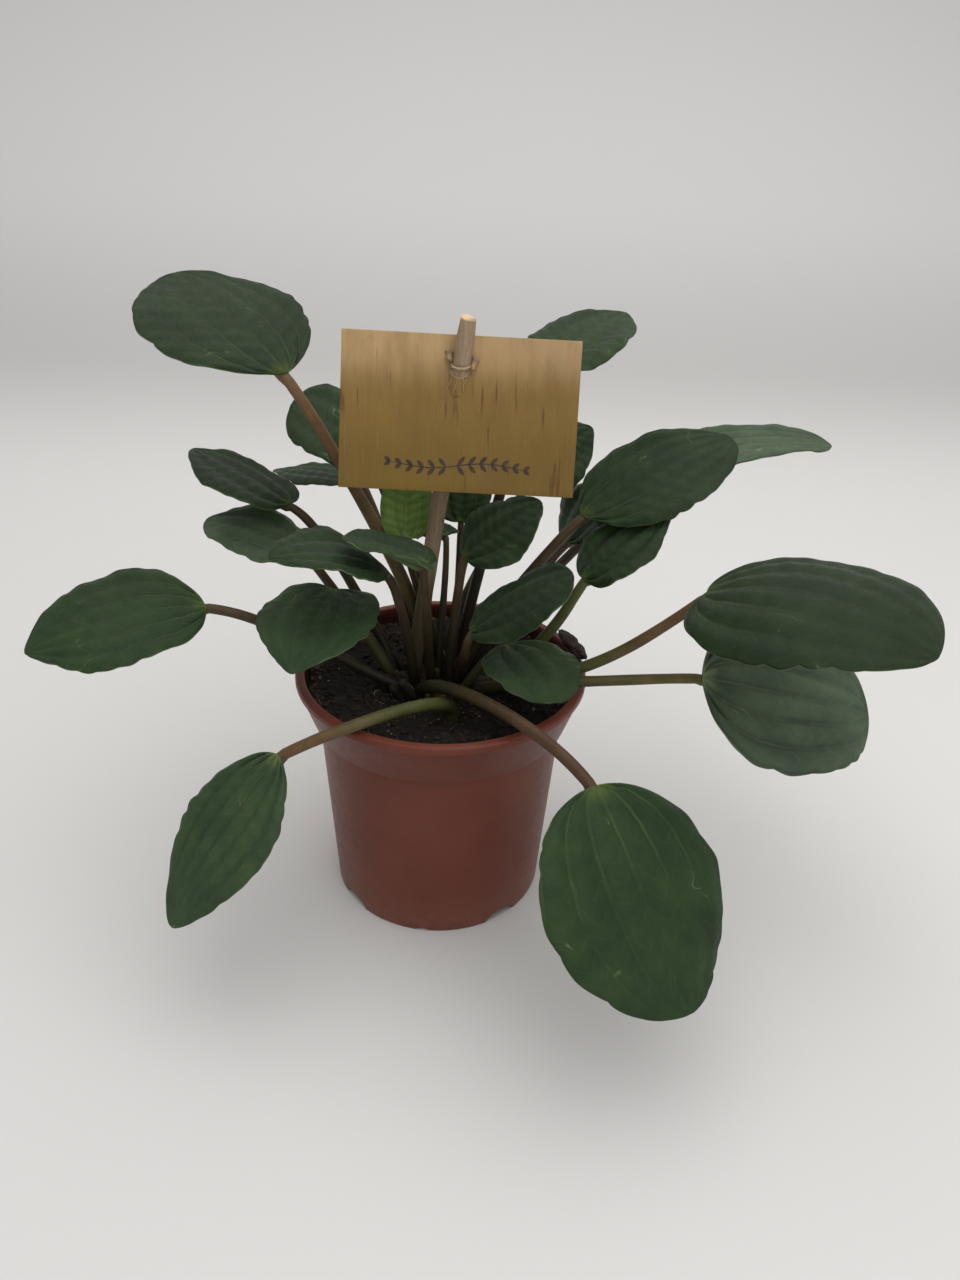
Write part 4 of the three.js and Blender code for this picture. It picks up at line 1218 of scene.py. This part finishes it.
# %% Crumbs, grit and fibres
def scatter(name, count, seed, sizes, stretch, finish, spread=(0, 54), lift=0.2):
    """Small lumps strewn on the peat, between two radii.

    stretch is a lump's length over its width, and lift how high its middle lies above the
    peat, as a share of its size.
    """
    draw = random.Random(seed)
    lump = bmesh.new()
    bmesh.ops.create_icosphere(lump, subdivisions=1, radius=1.0)
    shape = [corner.co.copy() for corner in lump.verts]
    faces = [[corner.index for corner in face.verts] for face in lump.faces]
    lump.free()
    mesh = bmesh.new()
    for _ in range(count):
        radius = spread[1] * math.sqrt(draw.uniform((spread[0] / spread[1]) ** 2, 1))
        turn = draw.uniform(0, 2 * math.pi)
        x, y = radius * math.cos(turn), radius * math.sin(turn)
        size = draw.uniform(*sizes)
        centre = Vector((x, y, soil_height(x, y) + size * lift))
        spin = Matrix.Rotation(draw.uniform(0, 2 * math.pi), 3, "Z")
        spin = spin @ Matrix.Rotation(draw.uniform(-0.5, 0.5), 3, "Y")
        scale = Matrix.Diagonal((size * draw.uniform(*stretch), size, size * draw.uniform(0.6, 1)))
        corners = [mesh.verts.new((centre + spin @ scale @ (p * draw.uniform(0.75, 1.2))) * MM)
                   for p in shape]
        for face in faces:
            mesh.faces.new([corners[i] for i in face])
    return finish_piece(name, mesh, [finish], outwards=False, smooth=False)


CRUMB = make_peat_finish("peat crumbs", rgb(22, 17, 14), rgb(58, 44, 34), 0.7)
GRIT = make_peat_finish("pale grit", rgb(120, 98, 70), rgb(176, 160, 132), 0.6)
FIBRE = make_peat_finish("dry fibre", rgb(70, 50, 34), rgb(122, 94, 64), 0.65)
strewn = [
    scatter("peat_crumbs", 1500, 11, (0.35, 1.3), (1.0, 1.7), CRUMB),
    scatter("pale_grit", 130, 12, (0.18, 0.5), (1.0, 1.6), GRIT),
    scatter("dry_fibres", 90, 13, (0.14, 0.26), (9.0, 22.0), FIBRE, lift=1.5),
    scatter("pale_fuzz", 110, 14, (0.1, 0.2), (3.0, 9.0), GRIT, spread=(17, 30), lift=4.0),
    scatter("rim_crumbs", 420, 15, (0.2, 0.75), (1.0, 1.8), FIBRE, spread=(50.5, 54.4)),
]
print("strewn on the peat:", [piece.name for piece in strewn])

# %% [markdown]
# ## The crown
# All stalks spring from one short knobbly stem. It shows as a dark brown mound between them:
# a round net again, domed and made uneven, whose outermost rings drop down into the peat.

# %% Crown
CROWN = dict(x=-2, y=2, radius=21, bottom=84, top=97.5)
CROWN_FINISH = make_peat_finish("corky crown", rgb(34, 25, 19), rgb(70, 52, 38), 0.7)


def make_crown():
    mesh = bmesh.new()

    def on_mound(across, along):
        turn, share = 2 * math.pi * across, min(1.0, along / 0.9)
        radius = CROWN["radius"] * share
        spot = Vector((radius * math.cos(turn), radius * math.sin(turn), 0)) * MM
        height = CROWN["top"] + 0.6 - 4.5 * share ** 3 + 1.3 * bumpy(spot, 4.5, 2.0)
        if along > 0.9:
            height = CROWN["bottom"]
        return Vector((CROWN["x"], CROWN["y"], height)) * MM + spot

    carry_net(mesh, 96, 40, on_mound)
    bmesh.ops.holes_fill(mesh, edges=[e for e in mesh.edges if e.is_boundary], sides=0)
    return finish_piece("crown_mound", mesh, [CROWN_FINISH], ["crown"])


crown = make_crown()
print("crown:", len(crown.data.polygons), "faces")

# %% [markdown]
# Round the stalks' feet stand the stubs of older ones, cut or withered, and a few dry papery
# scales. A stub is a short leaning tube that gets narrower at its end. A scale is a small net,
# pointed and curled, that Solidify gives its thickness. Seeded draws place them all.

# %% Stubs and scales
STUB_FOOT, SCALE_FOOT = 94, 96   # the heights they spring from


def on_crown(turn, reach, height):
    """A place at a bearing and a distance from the crown's middle, in mm."""
    return Vector((CROWN["x"] + reach * math.cos(turn), CROWN["y"] + reach * math.sin(turn),
                   height))


def make_stubs(name, count, seed, lengths, widths, finish):
    """Stubs of stalks that lean outwards."""
    draw = random.Random(seed)
    mesh = bmesh.new()
    for i in range(count):
        turn = 2 * math.pi * (i + draw.uniform(-0.3, 0.3)) / count
        foot = on_crown(turn, draw.uniform(4, 19), STUB_FOOT)
        slant = draw.uniform(0.3, 0.9)
        lean = Vector((slant * math.cos(turn), slant * math.sin(turn), 1)).normalized()
        length = draw.uniform(*lengths)
        centres = [(foot + lean * length * t) * MM for t in (0, 0.35, 0.7, 0.92, 1.0)]
        wide = draw.uniform(*widths)
        tube(mesh, centres, [wide * share * MM for share in (1.1, 1, 0.92, 0.85, 0.6)], 10)
    return finish_piece(name, mesh, [finish])


def make_scales(count, seed):
    """Thin dry scales that stand round the stalks' feet."""
    draw = random.Random(seed)
    mesh = bmesh.new()
    for i in range(count):
        turn = 2 * math.pi * (i + draw.uniform(-0.3, 0.3)) / count
        foot = on_crown(turn, draw.uniform(9, 20), SCALE_FOOT)
        out = Vector((math.cos(turn), math.sin(turn), 0))
        beside = out.cross(UP)
        length, width = draw.uniform(6, 10), draw.uniform(1.6, 2.6)

        def on_scale(across, along):
            aside = (2 * across - 1) * width * math.sin(math.pi * (0.18 + 0.82 * along)) ** 0.8
            curl = 0.35 * length * along * along
            hollow = 0.25 * (2 * across - 1) ** 2 * width
            return (foot + beside * aside + out * (curl - hollow) + UP * length * along) * MM

        carry_net(mesh, 6, 10, on_scale)
    piece = finish_piece("dry_scales", mesh, [SCALE_FINISH], outwards=False)
    solid = piece.modifiers.new("thickness", "SOLIDIFY")
    solid.thickness = 0.25 * MM
    return piece


SCALE_FINISH = make_peat_finish("papery scale", rgb(120, 96, 66), rgb(168, 146, 112), 0.6)
STUB_FINISH = make_peat_finish("withered stalk", rgb(32, 27, 17), rgb(54, 44, 28), 0.6)
remains = [make_scales(9, 8),
           make_stubs("old_stubs", 19, 5, (4.5, 13), (1.3, 2.0), CROWN_FINISH),
           make_stubs("stalk_stubs", 21, 7, (8, 17), (1.2, 2.2), STUB_FINISH)]
print("round the stalks' feet:", [piece.name for piece in remains])

# %% [markdown]
# ## The stick
# The label hangs on a bamboo stick, pale, straight-grained and faintly pink. Low down it is
# dark, under the card it carries a painted shadow, and its cut end is fresh wood. These follow
# from the height, and the grain from streaks that run upright.

# %% Stick finish
def make_stick_finish():
    material, tree, shader = start_material("raw bamboo", Specular_IOR_Level=0.15)
    place = place_of(tree)
    grain = use_group(tree, STREAKS, {"Place": place, "Width mm": 0.45, "Length mm": 22.0})
    clouds = use_group(tree, MOTTLE, {"Place": place, "Size mm": 14.0})
    colour = mix_colours(tree, ease(tree, grain.outputs["Streaks"], 0.35, 0.65),
                         rgb(148, 126, 98), rgb(178, 156, 128))
    stain = math_node(tree, "MULTIPLY", clouds.outputs["Clouds"], 0.3)
    colour = mix_colours(tree, stain, colour, rgb(168, 138, 118))
    height = height_of(tree)
    # Darker low on the stick, and a weaker painted shadow under the card.
    damp = math_node(tree, "MULTIPLY", ease(tree, height, 0.136, 0.154, 0.85, 0.35),
                     ease(tree, height, 0.19, 0.225, 1.0, 0.0))
    colour = mix_colours(tree, damp, colour, rgb(62, 54, 36))
    fresh = ease(tree, height, 0.2452, 0.2462)
    colour = mix_colours(tree, fresh, colour, rgb(232, 196, 158))
    rough = ease(tree, grain.outputs["Streaks"], 0.3, 0.7, 0.75, 0.6)
    finish_material(tree, shader, colour, rough, grain.outputs["Streaks"], depth=0.18)
    return material


RAW_BAMBOO = make_stick_finish()
print("stick finish:", RAW_BAMBOO.name)

# %% [markdown]
# The stick is a tube that sways a little and is whittled thinner at its top. It starts too
# long, and a plane cuts it off at a slant. The cut face is then filled.

# %% Stick
STAKE_FOOT = Vector((-14, 10.5, 83))
STAKE_TOP = Vector((7.5, -3.5, 246))
STAKE_RADIUS = 3.2
STAKE_SPARE = 1.5                # how far it reaches past the cut before it is cut
STAKE_STEPS = 90
WHITTLED_LENGTH = 9
WHITTLED_DEPTH = 0.7


def make_stick():
    along = (STAKE_TOP - STAKE_FOOT).normalized()
    reach = (STAKE_TOP - STAKE_FOOT).length + STAKE_SPARE
    centres, radii = [], []
    for i in range(STAKE_STEPS + 1):
        t = i / STAKE_STEPS
        sway = Vector((noise.noise(Vector((3 * t, 1, 0))), noise.noise(Vector((3 * t, 5, 0))), 0))
        centres.append((STAKE_FOOT + along * reach * t + sway * 0.25) * MM)
        carved = max(0.0, (reach * t - reach + WHITTLED_LENGTH) / WHITTLED_LENGTH) ** 1.5
        uneven = 0.14 * noise.noise(Vector((14 * t, 9, 0)))
        radii.append((STAKE_RADIUS - WHITTLED_DEPTH * carved + uneven) * MM)
    mesh = bmesh.new()
    tube(mesh, centres, radii, 32)
    for corner in mesh.verts:
        out = (corner.co - corner.co.project(along)).normalized()
        spot = Vector((corner.co.x, corner.co.y, corner.co.z * 0.12))
        corner.co += out * 0.08 * MM * bumpy(spot, 1.2)
    slant = (along + Vector((0.14, -0.12, 0))).normalized()
    cut = bmesh.ops.bisect_plane(
        mesh, geom=mesh.verts[:] + mesh.edges[:] + mesh.faces[:], dist=1e-7,
        plane_co=STAKE_TOP * MM, plane_no=slant, clear_outer=True)["geom_cut"]
    bmesh.ops.holes_fill(mesh, edges=[e for e in cut if isinstance(e, bmesh.types.BMEdge)], sides=0)
    piece = finish_piece("bamboo_stick", mesh, [RAW_BAMBOO], ["label_stake"])
    piece.data.set_sharp_from_angle(angle=math.radians(40))
    return piece


stick = make_stick()
print("stick:", len(stick.data.polygons), "faces")

# %% [markdown]
# ## The card
# The label is a thin stiff card that leans back and hangs by a slot which the stick was pushed
# through. All of it is drawn flat about the card's own centre and then turned into place by
# one matrix. Turned back by the same matrix, the stick's ends tell where it crosses the card.

# %% Place of the card and its slot
CARD = dict(centre=(5, -7, 213), width=85, height=55, thickness=0.8, lean=18.5, roll=1.5)
CARD_FRAME = (Matrix.Translation(Vector(CARD["centre"]))
              @ Matrix.Rotation(math.radians(-CARD["lean"]), 4, "X")
              @ Matrix.Rotation(math.radians(CARD["roll"]), 4, "Y"))
CARD_BACK = CARD_FRAME.inverted()
HOLE_HALF = (3.15, 9.1)          # half the slot's width and height


def hole_centre():
    """Where the stick crosses the card, in the card's own x and z."""
    foot, top = CARD_BACK @ STAKE_FOOT, CARD_BACK @ STAKE_TOP
    spot = foot.lerp(top, foot.y / (foot.y - top.y))
    return spot.x, spot.z


def stick_across(z):
    """The stick's centre on the card at a height, in the card's own x."""
    along = (CARD_BACK @ STAKE_TOP) - (CARD_BACK @ STAKE_FOOT)
    x, middle = hole_centre()
    return x + along.x / along.z * (z - middle)


def hole_rim(turn):
    """A point on the slot's uneven rim, in the card's own x and z."""
    ragged = 1 + 0.02 * (1 + math.sin(5 * turn))
    z = hole_centre()[1] + HOLE_HALF[1] * ragged * math.sin(turn)
    return stick_across(z) + HOLE_HALF[0] * ragged * math.cos(turn), z


print("the stick crosses the card at", [round(c, 1) for c in hole_centre()], "mm from its centre")

# %% [markdown]
# The board is printed like bamboo: tan, paler towards its top, with broad soft bands, fine
# grain, pale hairs and short dark scratches. All of these are streaks of different width and
# length, so the group from the start serves four times. Painted shade makes the board a little
# darker to the right.
# An image of bamboo would be stretched on the torn parts. The streaks follow the card's place,
# so they run on over them.

# %% Card finish
BOARD_LOW, BOARD_MIDDLE, BOARD_TOP = rgb(122, 97, 42), rgb(141, 112, 58), rgb(196, 163, 118)


def make_card_finish():
    material, tree, shader = start_material("printed board", Specular_IOR_Level=0.2)
    place = place_of(tree)
    turned = add_node(tree, "ShaderNodeMapping", {
        "Vector": place, "Rotation": (math.radians(CARD["lean"]), 0.0, 0.0)}).outputs[0]
    grain, fine, soft, scratch = (
        use_group(tree, STREAKS, {"Place": turned, "Width mm": width, "Length mm": length})
        for width, length in ((0.9, 60.0), (0.3, 16.0), (7.0, 34.0), (0.4, 6.0)))
    clouds = use_group(tree, MOTTLE, {"Place": turned, "Size mm": 30.0}).outputs["Clouds"]
    axes = add_node(tree, "ShaderNodeSeparateXYZ", {"Vector": place}).outputs
    colour = mix_colours(tree, ease(tree, axes["Z"], 0.194, 0.222), BOARD_LOW, BOARD_MIDDLE)
    colour = mix_colours(tree, ease(tree, axes["Z"], 0.2185, 0.2365), colour, BOARD_TOP)
    bands = math_node(tree, "MULTIPLY", ease(tree, soft.outputs["Streaks"], 0.4, 0.65), 0.3)
    lines = math_node(tree, "MULTIPLY", grain.outputs["Streaks"], 0.2)
    hair = math_node(tree, "MULTIPLY", ease(tree, fine.outputs["Streaks"], 0.55, 0.75), 0.12)
    knots = math_node(tree, "MULTIPLY", scratch.outputs["Dark lines"],
                      ease(tree, clouds, 0.3, 0.8, 0.0, 0.75))
    for share, printed in ((bands, rgb(118, 90, 50)), (lines, rgb(112, 84, 48)),
                           (hair, rgb(206, 178, 134)), (knots, rgb(84, 58, 34))):
        colour = mix_colours(tree, share, colour, printed)
    # Random clouds, and painted light and shade: a little lighter to the left and darker to the
    # right.
    value = math_node(tree, "MULTIPLY", ease(tree, clouds, 0.0, 1.0, 0.93, 1.05),
                      ease(tree, axes["X"], -0.045, 0.045, 1.05, 0.93))
    shade = add_node(tree, "ShaderNodeHueSaturation", {"Color": colour, "Value": value})
    rough = ease(tree, grain.outputs["Streaks"], 0.3, 0.7, 0.42, 0.55)
    finish_material(tree, shader, shade.outputs["Color"], rough, fine.outputs["Streaks"],
                    depth=0.06)
    return material


BOARD = make_card_finish()
print("card finish:", BOARD.name)

# %% [markdown]
# The card is a net stretched from the slot's ragged rim to its four edges. One side of the net
# walks once round the edges, a millimetre a step, and each step meets the rim in the same
# direction. A Boolean could cut the slot out of a plain box, but on this net the rim can be
# ragged and the faces round it stay even.

# %% Card
def make_card():
    half_wide, half_high = CARD["width"] / 2, CARD["height"] / 2
    around = 2 * (CARD["width"] + CARD["height"])
    hole_x, hole_z = hole_centre()
    mesh = bmesh.new()

    def edge_point(across):
        walk = (across * around) % around
        if walk <= CARD["width"]:
            return walk - half_wide, -half_high
        walk -= CARD["width"]
        if walk <= CARD["height"]:
            return half_wide, walk - half_high
        walk -= CARD["height"]
        if walk <= CARD["width"]:
            return half_wide - walk, half_high
        return -half_wide, half_high - (walk - CARD["width"])

    def on_card(across, along):
        far_x, far_z = edge_point(across)
        near_x, near_z = hole_rim(math.atan2(far_z - hole_z, far_x - hole_x))
        x = near_x + (far_x - near_x) * along
        z = near_z + (far_z - near_z) * along
        return CARD_FRAME @ Vector((x, 0, z)) * MM

    carry_net(mesh, around, 14, on_card)
    piece = finish_piece("printed_card", mesh, [BOARD], ["label_card"], outwards=False)
    solid = piece.modifiers.new("thickness", "SOLIDIFY")
    solid.thickness = CARD["thickness"] * MM
    solid.offset = 0.0
    edge = piece.modifiers.new("soft edges", "BEVEL")
    edge.width = 0.12 * MM
    edge.segments = 2
    edge.limit_method = "ANGLE"
    piece.data.set_sharp_from_angle(angle=math.radians(30))
    return piece


card = make_card()
print("card:", CARD["width"], "by", CARD["height"], "mm,", len(card.data.polygons), "faces")

# %% [markdown]
# Where the stick comes through, a torn tongue of board stands in front of it and a small flap
# curls away on either side. They could be bent out of the card's own mesh, but as small nets
# with a formula each they can curl freely. Their torn ends show the pale inside of the board.

# %% Torn board
TORN = make_peat_finish("torn board", rgb(152, 124, 96), rgb(186, 158, 128), 0.7)
TORN_THICKNESS = 0.35
TORN_FROM = 0.68                 # the share of a flap's length from which it is torn and pale
TONGUE_HALF = 4.2                # half the tongue's width at its torn end
TONGUE_BULGE = 0.65              # how far it stands off the stick
STICK_MEETS = 8.2                # how far below the slot's middle the stick meets the card
STICK_SLOPE = 0.44               # how fast it comes out of the card from there on up
# Each flap's side, height above the slot's middle, half height and reach.
FLAPS = [(-1, 3.6, 2.0, 2.8), (1, 2.2, 2.7, 2.6)]


def stick_face(z, middle):
    """How far the stick stands out of the card at a height, in mm."""
    return max(0.0, STICK_SLOPE * (z - middle + STICK_MEETS))


def make_torn_board():
    """The tongue that stands in front of the stick, and the flap on either side of it."""
    mesh = bmesh.new()
    middle = hole_centre()[1]
    low = middle - HOLE_HALF[1] - 1.0

    def on_tongue(across, along):
        aside = 2 * across - 1
        dip = 2.1 * (1 - aside * aside) * along * along + 0.25 * along * math.sin(9 * across + 1)
        z = low + (middle + 1.7 - low) * along - dip
        x = stick_across(z) + aside * (1.6 + (TONGUE_HALF - 1.6) * along ** 0.5)
        bulge = stick_face(z, middle) + TONGUE_BULGE * min(1.0, 12 * along)
        bulge *= max(0.0, 1 - aside * aside) ** 1.1
        return CARD_FRAME @ Vector((x, -0.15 - bulge, z)) * MM

    carry_net(mesh, 28, 24, on_tongue)
    for side, height, tall, reach in FLAPS:
        def on_flap(across, along):
            aside = 2 * across - 1
            z = middle + height + aside * tall * (1 - 0.35 * along) + side * -0.9 * along
            x = stick_across(z) + side * (3.0 + reach * along * (1 - 0.2 * math.sin(5 * across)))
            curl = 2.4 * math.sin(2.5 * along) * (1 - 0.3 * aside) + 0.35 * math.sin(7 * across)
            return CARD_FRAME @ Vector((x, -0.3 - max(0.0, curl), z)) * MM

        carry_net(mesh, 10, 8, on_flap)
    uv = mesh.loops.layers.uv.verify()
    for face in mesh.faces:
        height = max((CARD_BACK @ (loop.vert.co / MM)).z for loop in face.loops)
        torn_end = min(loop[uv].uv.y for loop in face.loops) > TORN_FROM
        face.material_index = int(torn_end or height > middle + 1.9)
    piece = finish_piece("torn_board", mesh, [BOARD, TORN], outwards=False)
    solid = piece.modifiers.new("thickness", "SOLIDIFY")
    solid.thickness = TORN_THICKNESS * MM
    solid.offset = 0.0
    return piece


torn_board = make_torn_board()
print("torn board:", len(torn_board.data.polygons), "faces")

# %% [markdown]
# Thin tubes make what is frayed: the tongue's pale lip, a loop of fibre under it, and four
# loose ends that hang down. They lie on the same bulge as the tongue.

# %% Torn fibres
FRAYED = make_peat_finish("torn fibre", rgb(190, 164, 128), rgb(218, 196, 162), 0.7)
# Where each loose end starts and ends beside the stick's middle, and how far it hangs.
LOOSE_ENDS = [(-2.6, -3.6, 4.2), (-0.7, -1.1, 5.6), (1.2, 2.6, 5.0), (2.4, 2.0, 3.2)]


def make_torn_fibres():
    """The tongue's pale lip, the loop under it, and its loose ends."""
    mesh = bmesh.new()
    middle = hole_centre()[1]

    def on_board(aside, z):
        bulge = stick_face(z, middle) + TONGUE_BULGE
        lift = bulge * max(0.0, 1 - (aside / TONGUE_HALF) ** 2) ** 1.1
        return CARD_FRAME @ Vector((stick_across(z) + aside, -0.45 - lift, z)) * MM

    turns = [math.pi * (1 + i / 24) for i in range(25)]
    lip = [on_board(3.5 * math.cos(t), middle + 1.6 + 2.0 * math.sin(t)) for t in turns]
    tube(mesh, lip, [(0.2 - 0.3 * math.sin(t)) * MM for t in turns], 8)
    loop = [on_board(3.3 * math.cos(t), middle - 0.6 + 2.9 * math.sin(t)) for t in turns]
    tube(mesh, loop, [0.16 * MM] * len(loop), 6)
    for start, end, sag in LOOSE_ENDS:
        ends = [on_board(start + (end - start) * i / 6 + 0.25 * math.sin(i),
                         middle - 3.2 - sag * i / 6) for i in range(7)]
        tube(mesh, ends, [0.12 * MM] * 6 + [0.04 * MM], 5)
    return finish_piece("torn_fibres", mesh, [FRAYED])


torn_fibres = make_torn_fibres()
print("torn fibres:", len(torn_fibres.data.polygons), "faces")

# %% [markdown]
# The card's only ornament is a plain sprig along its lower edge: a wavy stem with pairs of
# small pointed leaves that get smaller towards its ends. It is a skin of ink a hair's breadth
# in front of the board, and the ink is a little worn. An image could print it, but a skin of
# faces needs no file and stays sharp from close by.

# %% Printed sprig
SPRIG_LEVEL, SPRIG_HALF = -18.0, 27.0
SPRIG_PAIRS, SPRIG_STEP = 6, 4.0
INK_FRONT = -CARD["thickness"] / 2 - 0.03


def make_ink():
    material, tree, shader = start_material("dark ink", Roughness=0.6)
    worn = use_group(tree, MOTTLE, {"Place": place_of(tree), "Size mm": 1.5}).outputs["Clouds"]
    finish_material(tree, shader, mix_colours(tree, worn, rgb(48, 30, 18), rgb(74, 50, 30)))
    return material


def stem_height(x):
    """The height of the sprig's wavy stem on the card."""
    return SPRIG_LEVEL + 1.1 * math.sin(x / 6.5)


def make_sprig():
    mesh = bmesh.new()

    def on_stem(across, along):
        x = (2 * along - 1) * SPRIG_HALF
        z = stem_height(x) + (across - 0.5) * 0.5 * (1 - (x / SPRIG_HALF) ** 4)
        return CARD_FRAME @ Vector((x, INK_FRONT, z)) * MM

    carry_net(mesh, 1, 60, on_stem)
    for i in range(-SPRIG_PAIRS, SPRIG_PAIRS + 1):
        x, opening = i * SPRIG_STEP, 52 - 3 * abs(i)
        for side in (-1, 1):
            lean = math.radians(side * opening if i >= 0 else 180 - side * opening)
            size = 4.4 - 0.28 * abs(i)

            def on_leaf(across, along):
                aside = (across - 0.5) * 1.5 * math.sin(math.pi * along) ** 0.8
                ahead = size * along
                return CARD_FRAME @ Vector((
                    x + ahead * math.cos(lean) - aside * math.sin(lean), INK_FRONT,
                    stem_height(x) + ahead * math.sin(lean) + aside * math.cos(lean))) * MM

            carry_net(mesh, 2, 8, on_leaf)
    return finish_piece("printed_sprig", mesh, [make_ink()], outwards=False)


sprig = make_sprig()
print("sprig:", len(sprig.data.polygons), "faces")

# %% [markdown]
# ## A chip of bark
# One dark, lumpy chip of bark lies along the lip. It starts as a ball, is stretched and
# turned like the solid, and gets its ridges from noise stretched along its grain.

# %% Bark chip
CHIP_PLACE = Vector((56, 14, 108.2))
CHIP_SIZE = (13, 3.4, 2.7)       # half its length, width and height
CHIP_TURN, CHIP_TIP = 109, 12    # degrees about the upright and about its own length


def make_chip():
    mesh = bmesh.new()
    bmesh.ops.create_icosphere(mesh, subdivisions=5, radius=1.0)
    turn = (Matrix.Rotation(math.radians(CHIP_TURN), 4, "Z")
            @ Matrix.Rotation(math.radians(CHIP_TIP), 4, "X"))
    for corner in mesh.verts:
        p = corner.co.copy()
        ridge = noise.fractal(Vector((3.4 * p.x, 1.6 * p.y, 1.6 * p.z)), 1.0, 2.0, 4)
        waist = 1 - 0.25 * math.exp(-((p.x + 0.1) / 0.12) ** 2)
        p *= 0.97 + 0.16 * ridge
        p = Vector((p.x * CHIP_SIZE[0], p.y * CHIP_SIZE[1] * waist, p.z * CHIP_SIZE[2] * waist))
        corner.co = (CHIP_PLACE + turn @ p) * MM
    finish = make_peat_finish("dark bark", rgb(34, 24, 22), rgb(84, 64, 58), 0.6)
    return finish_piece("bark_piece", mesh, [finish], ["bark_chip"])


chip = make_chip()
print("bark chip:", len(chip.data.polygons), "faces")
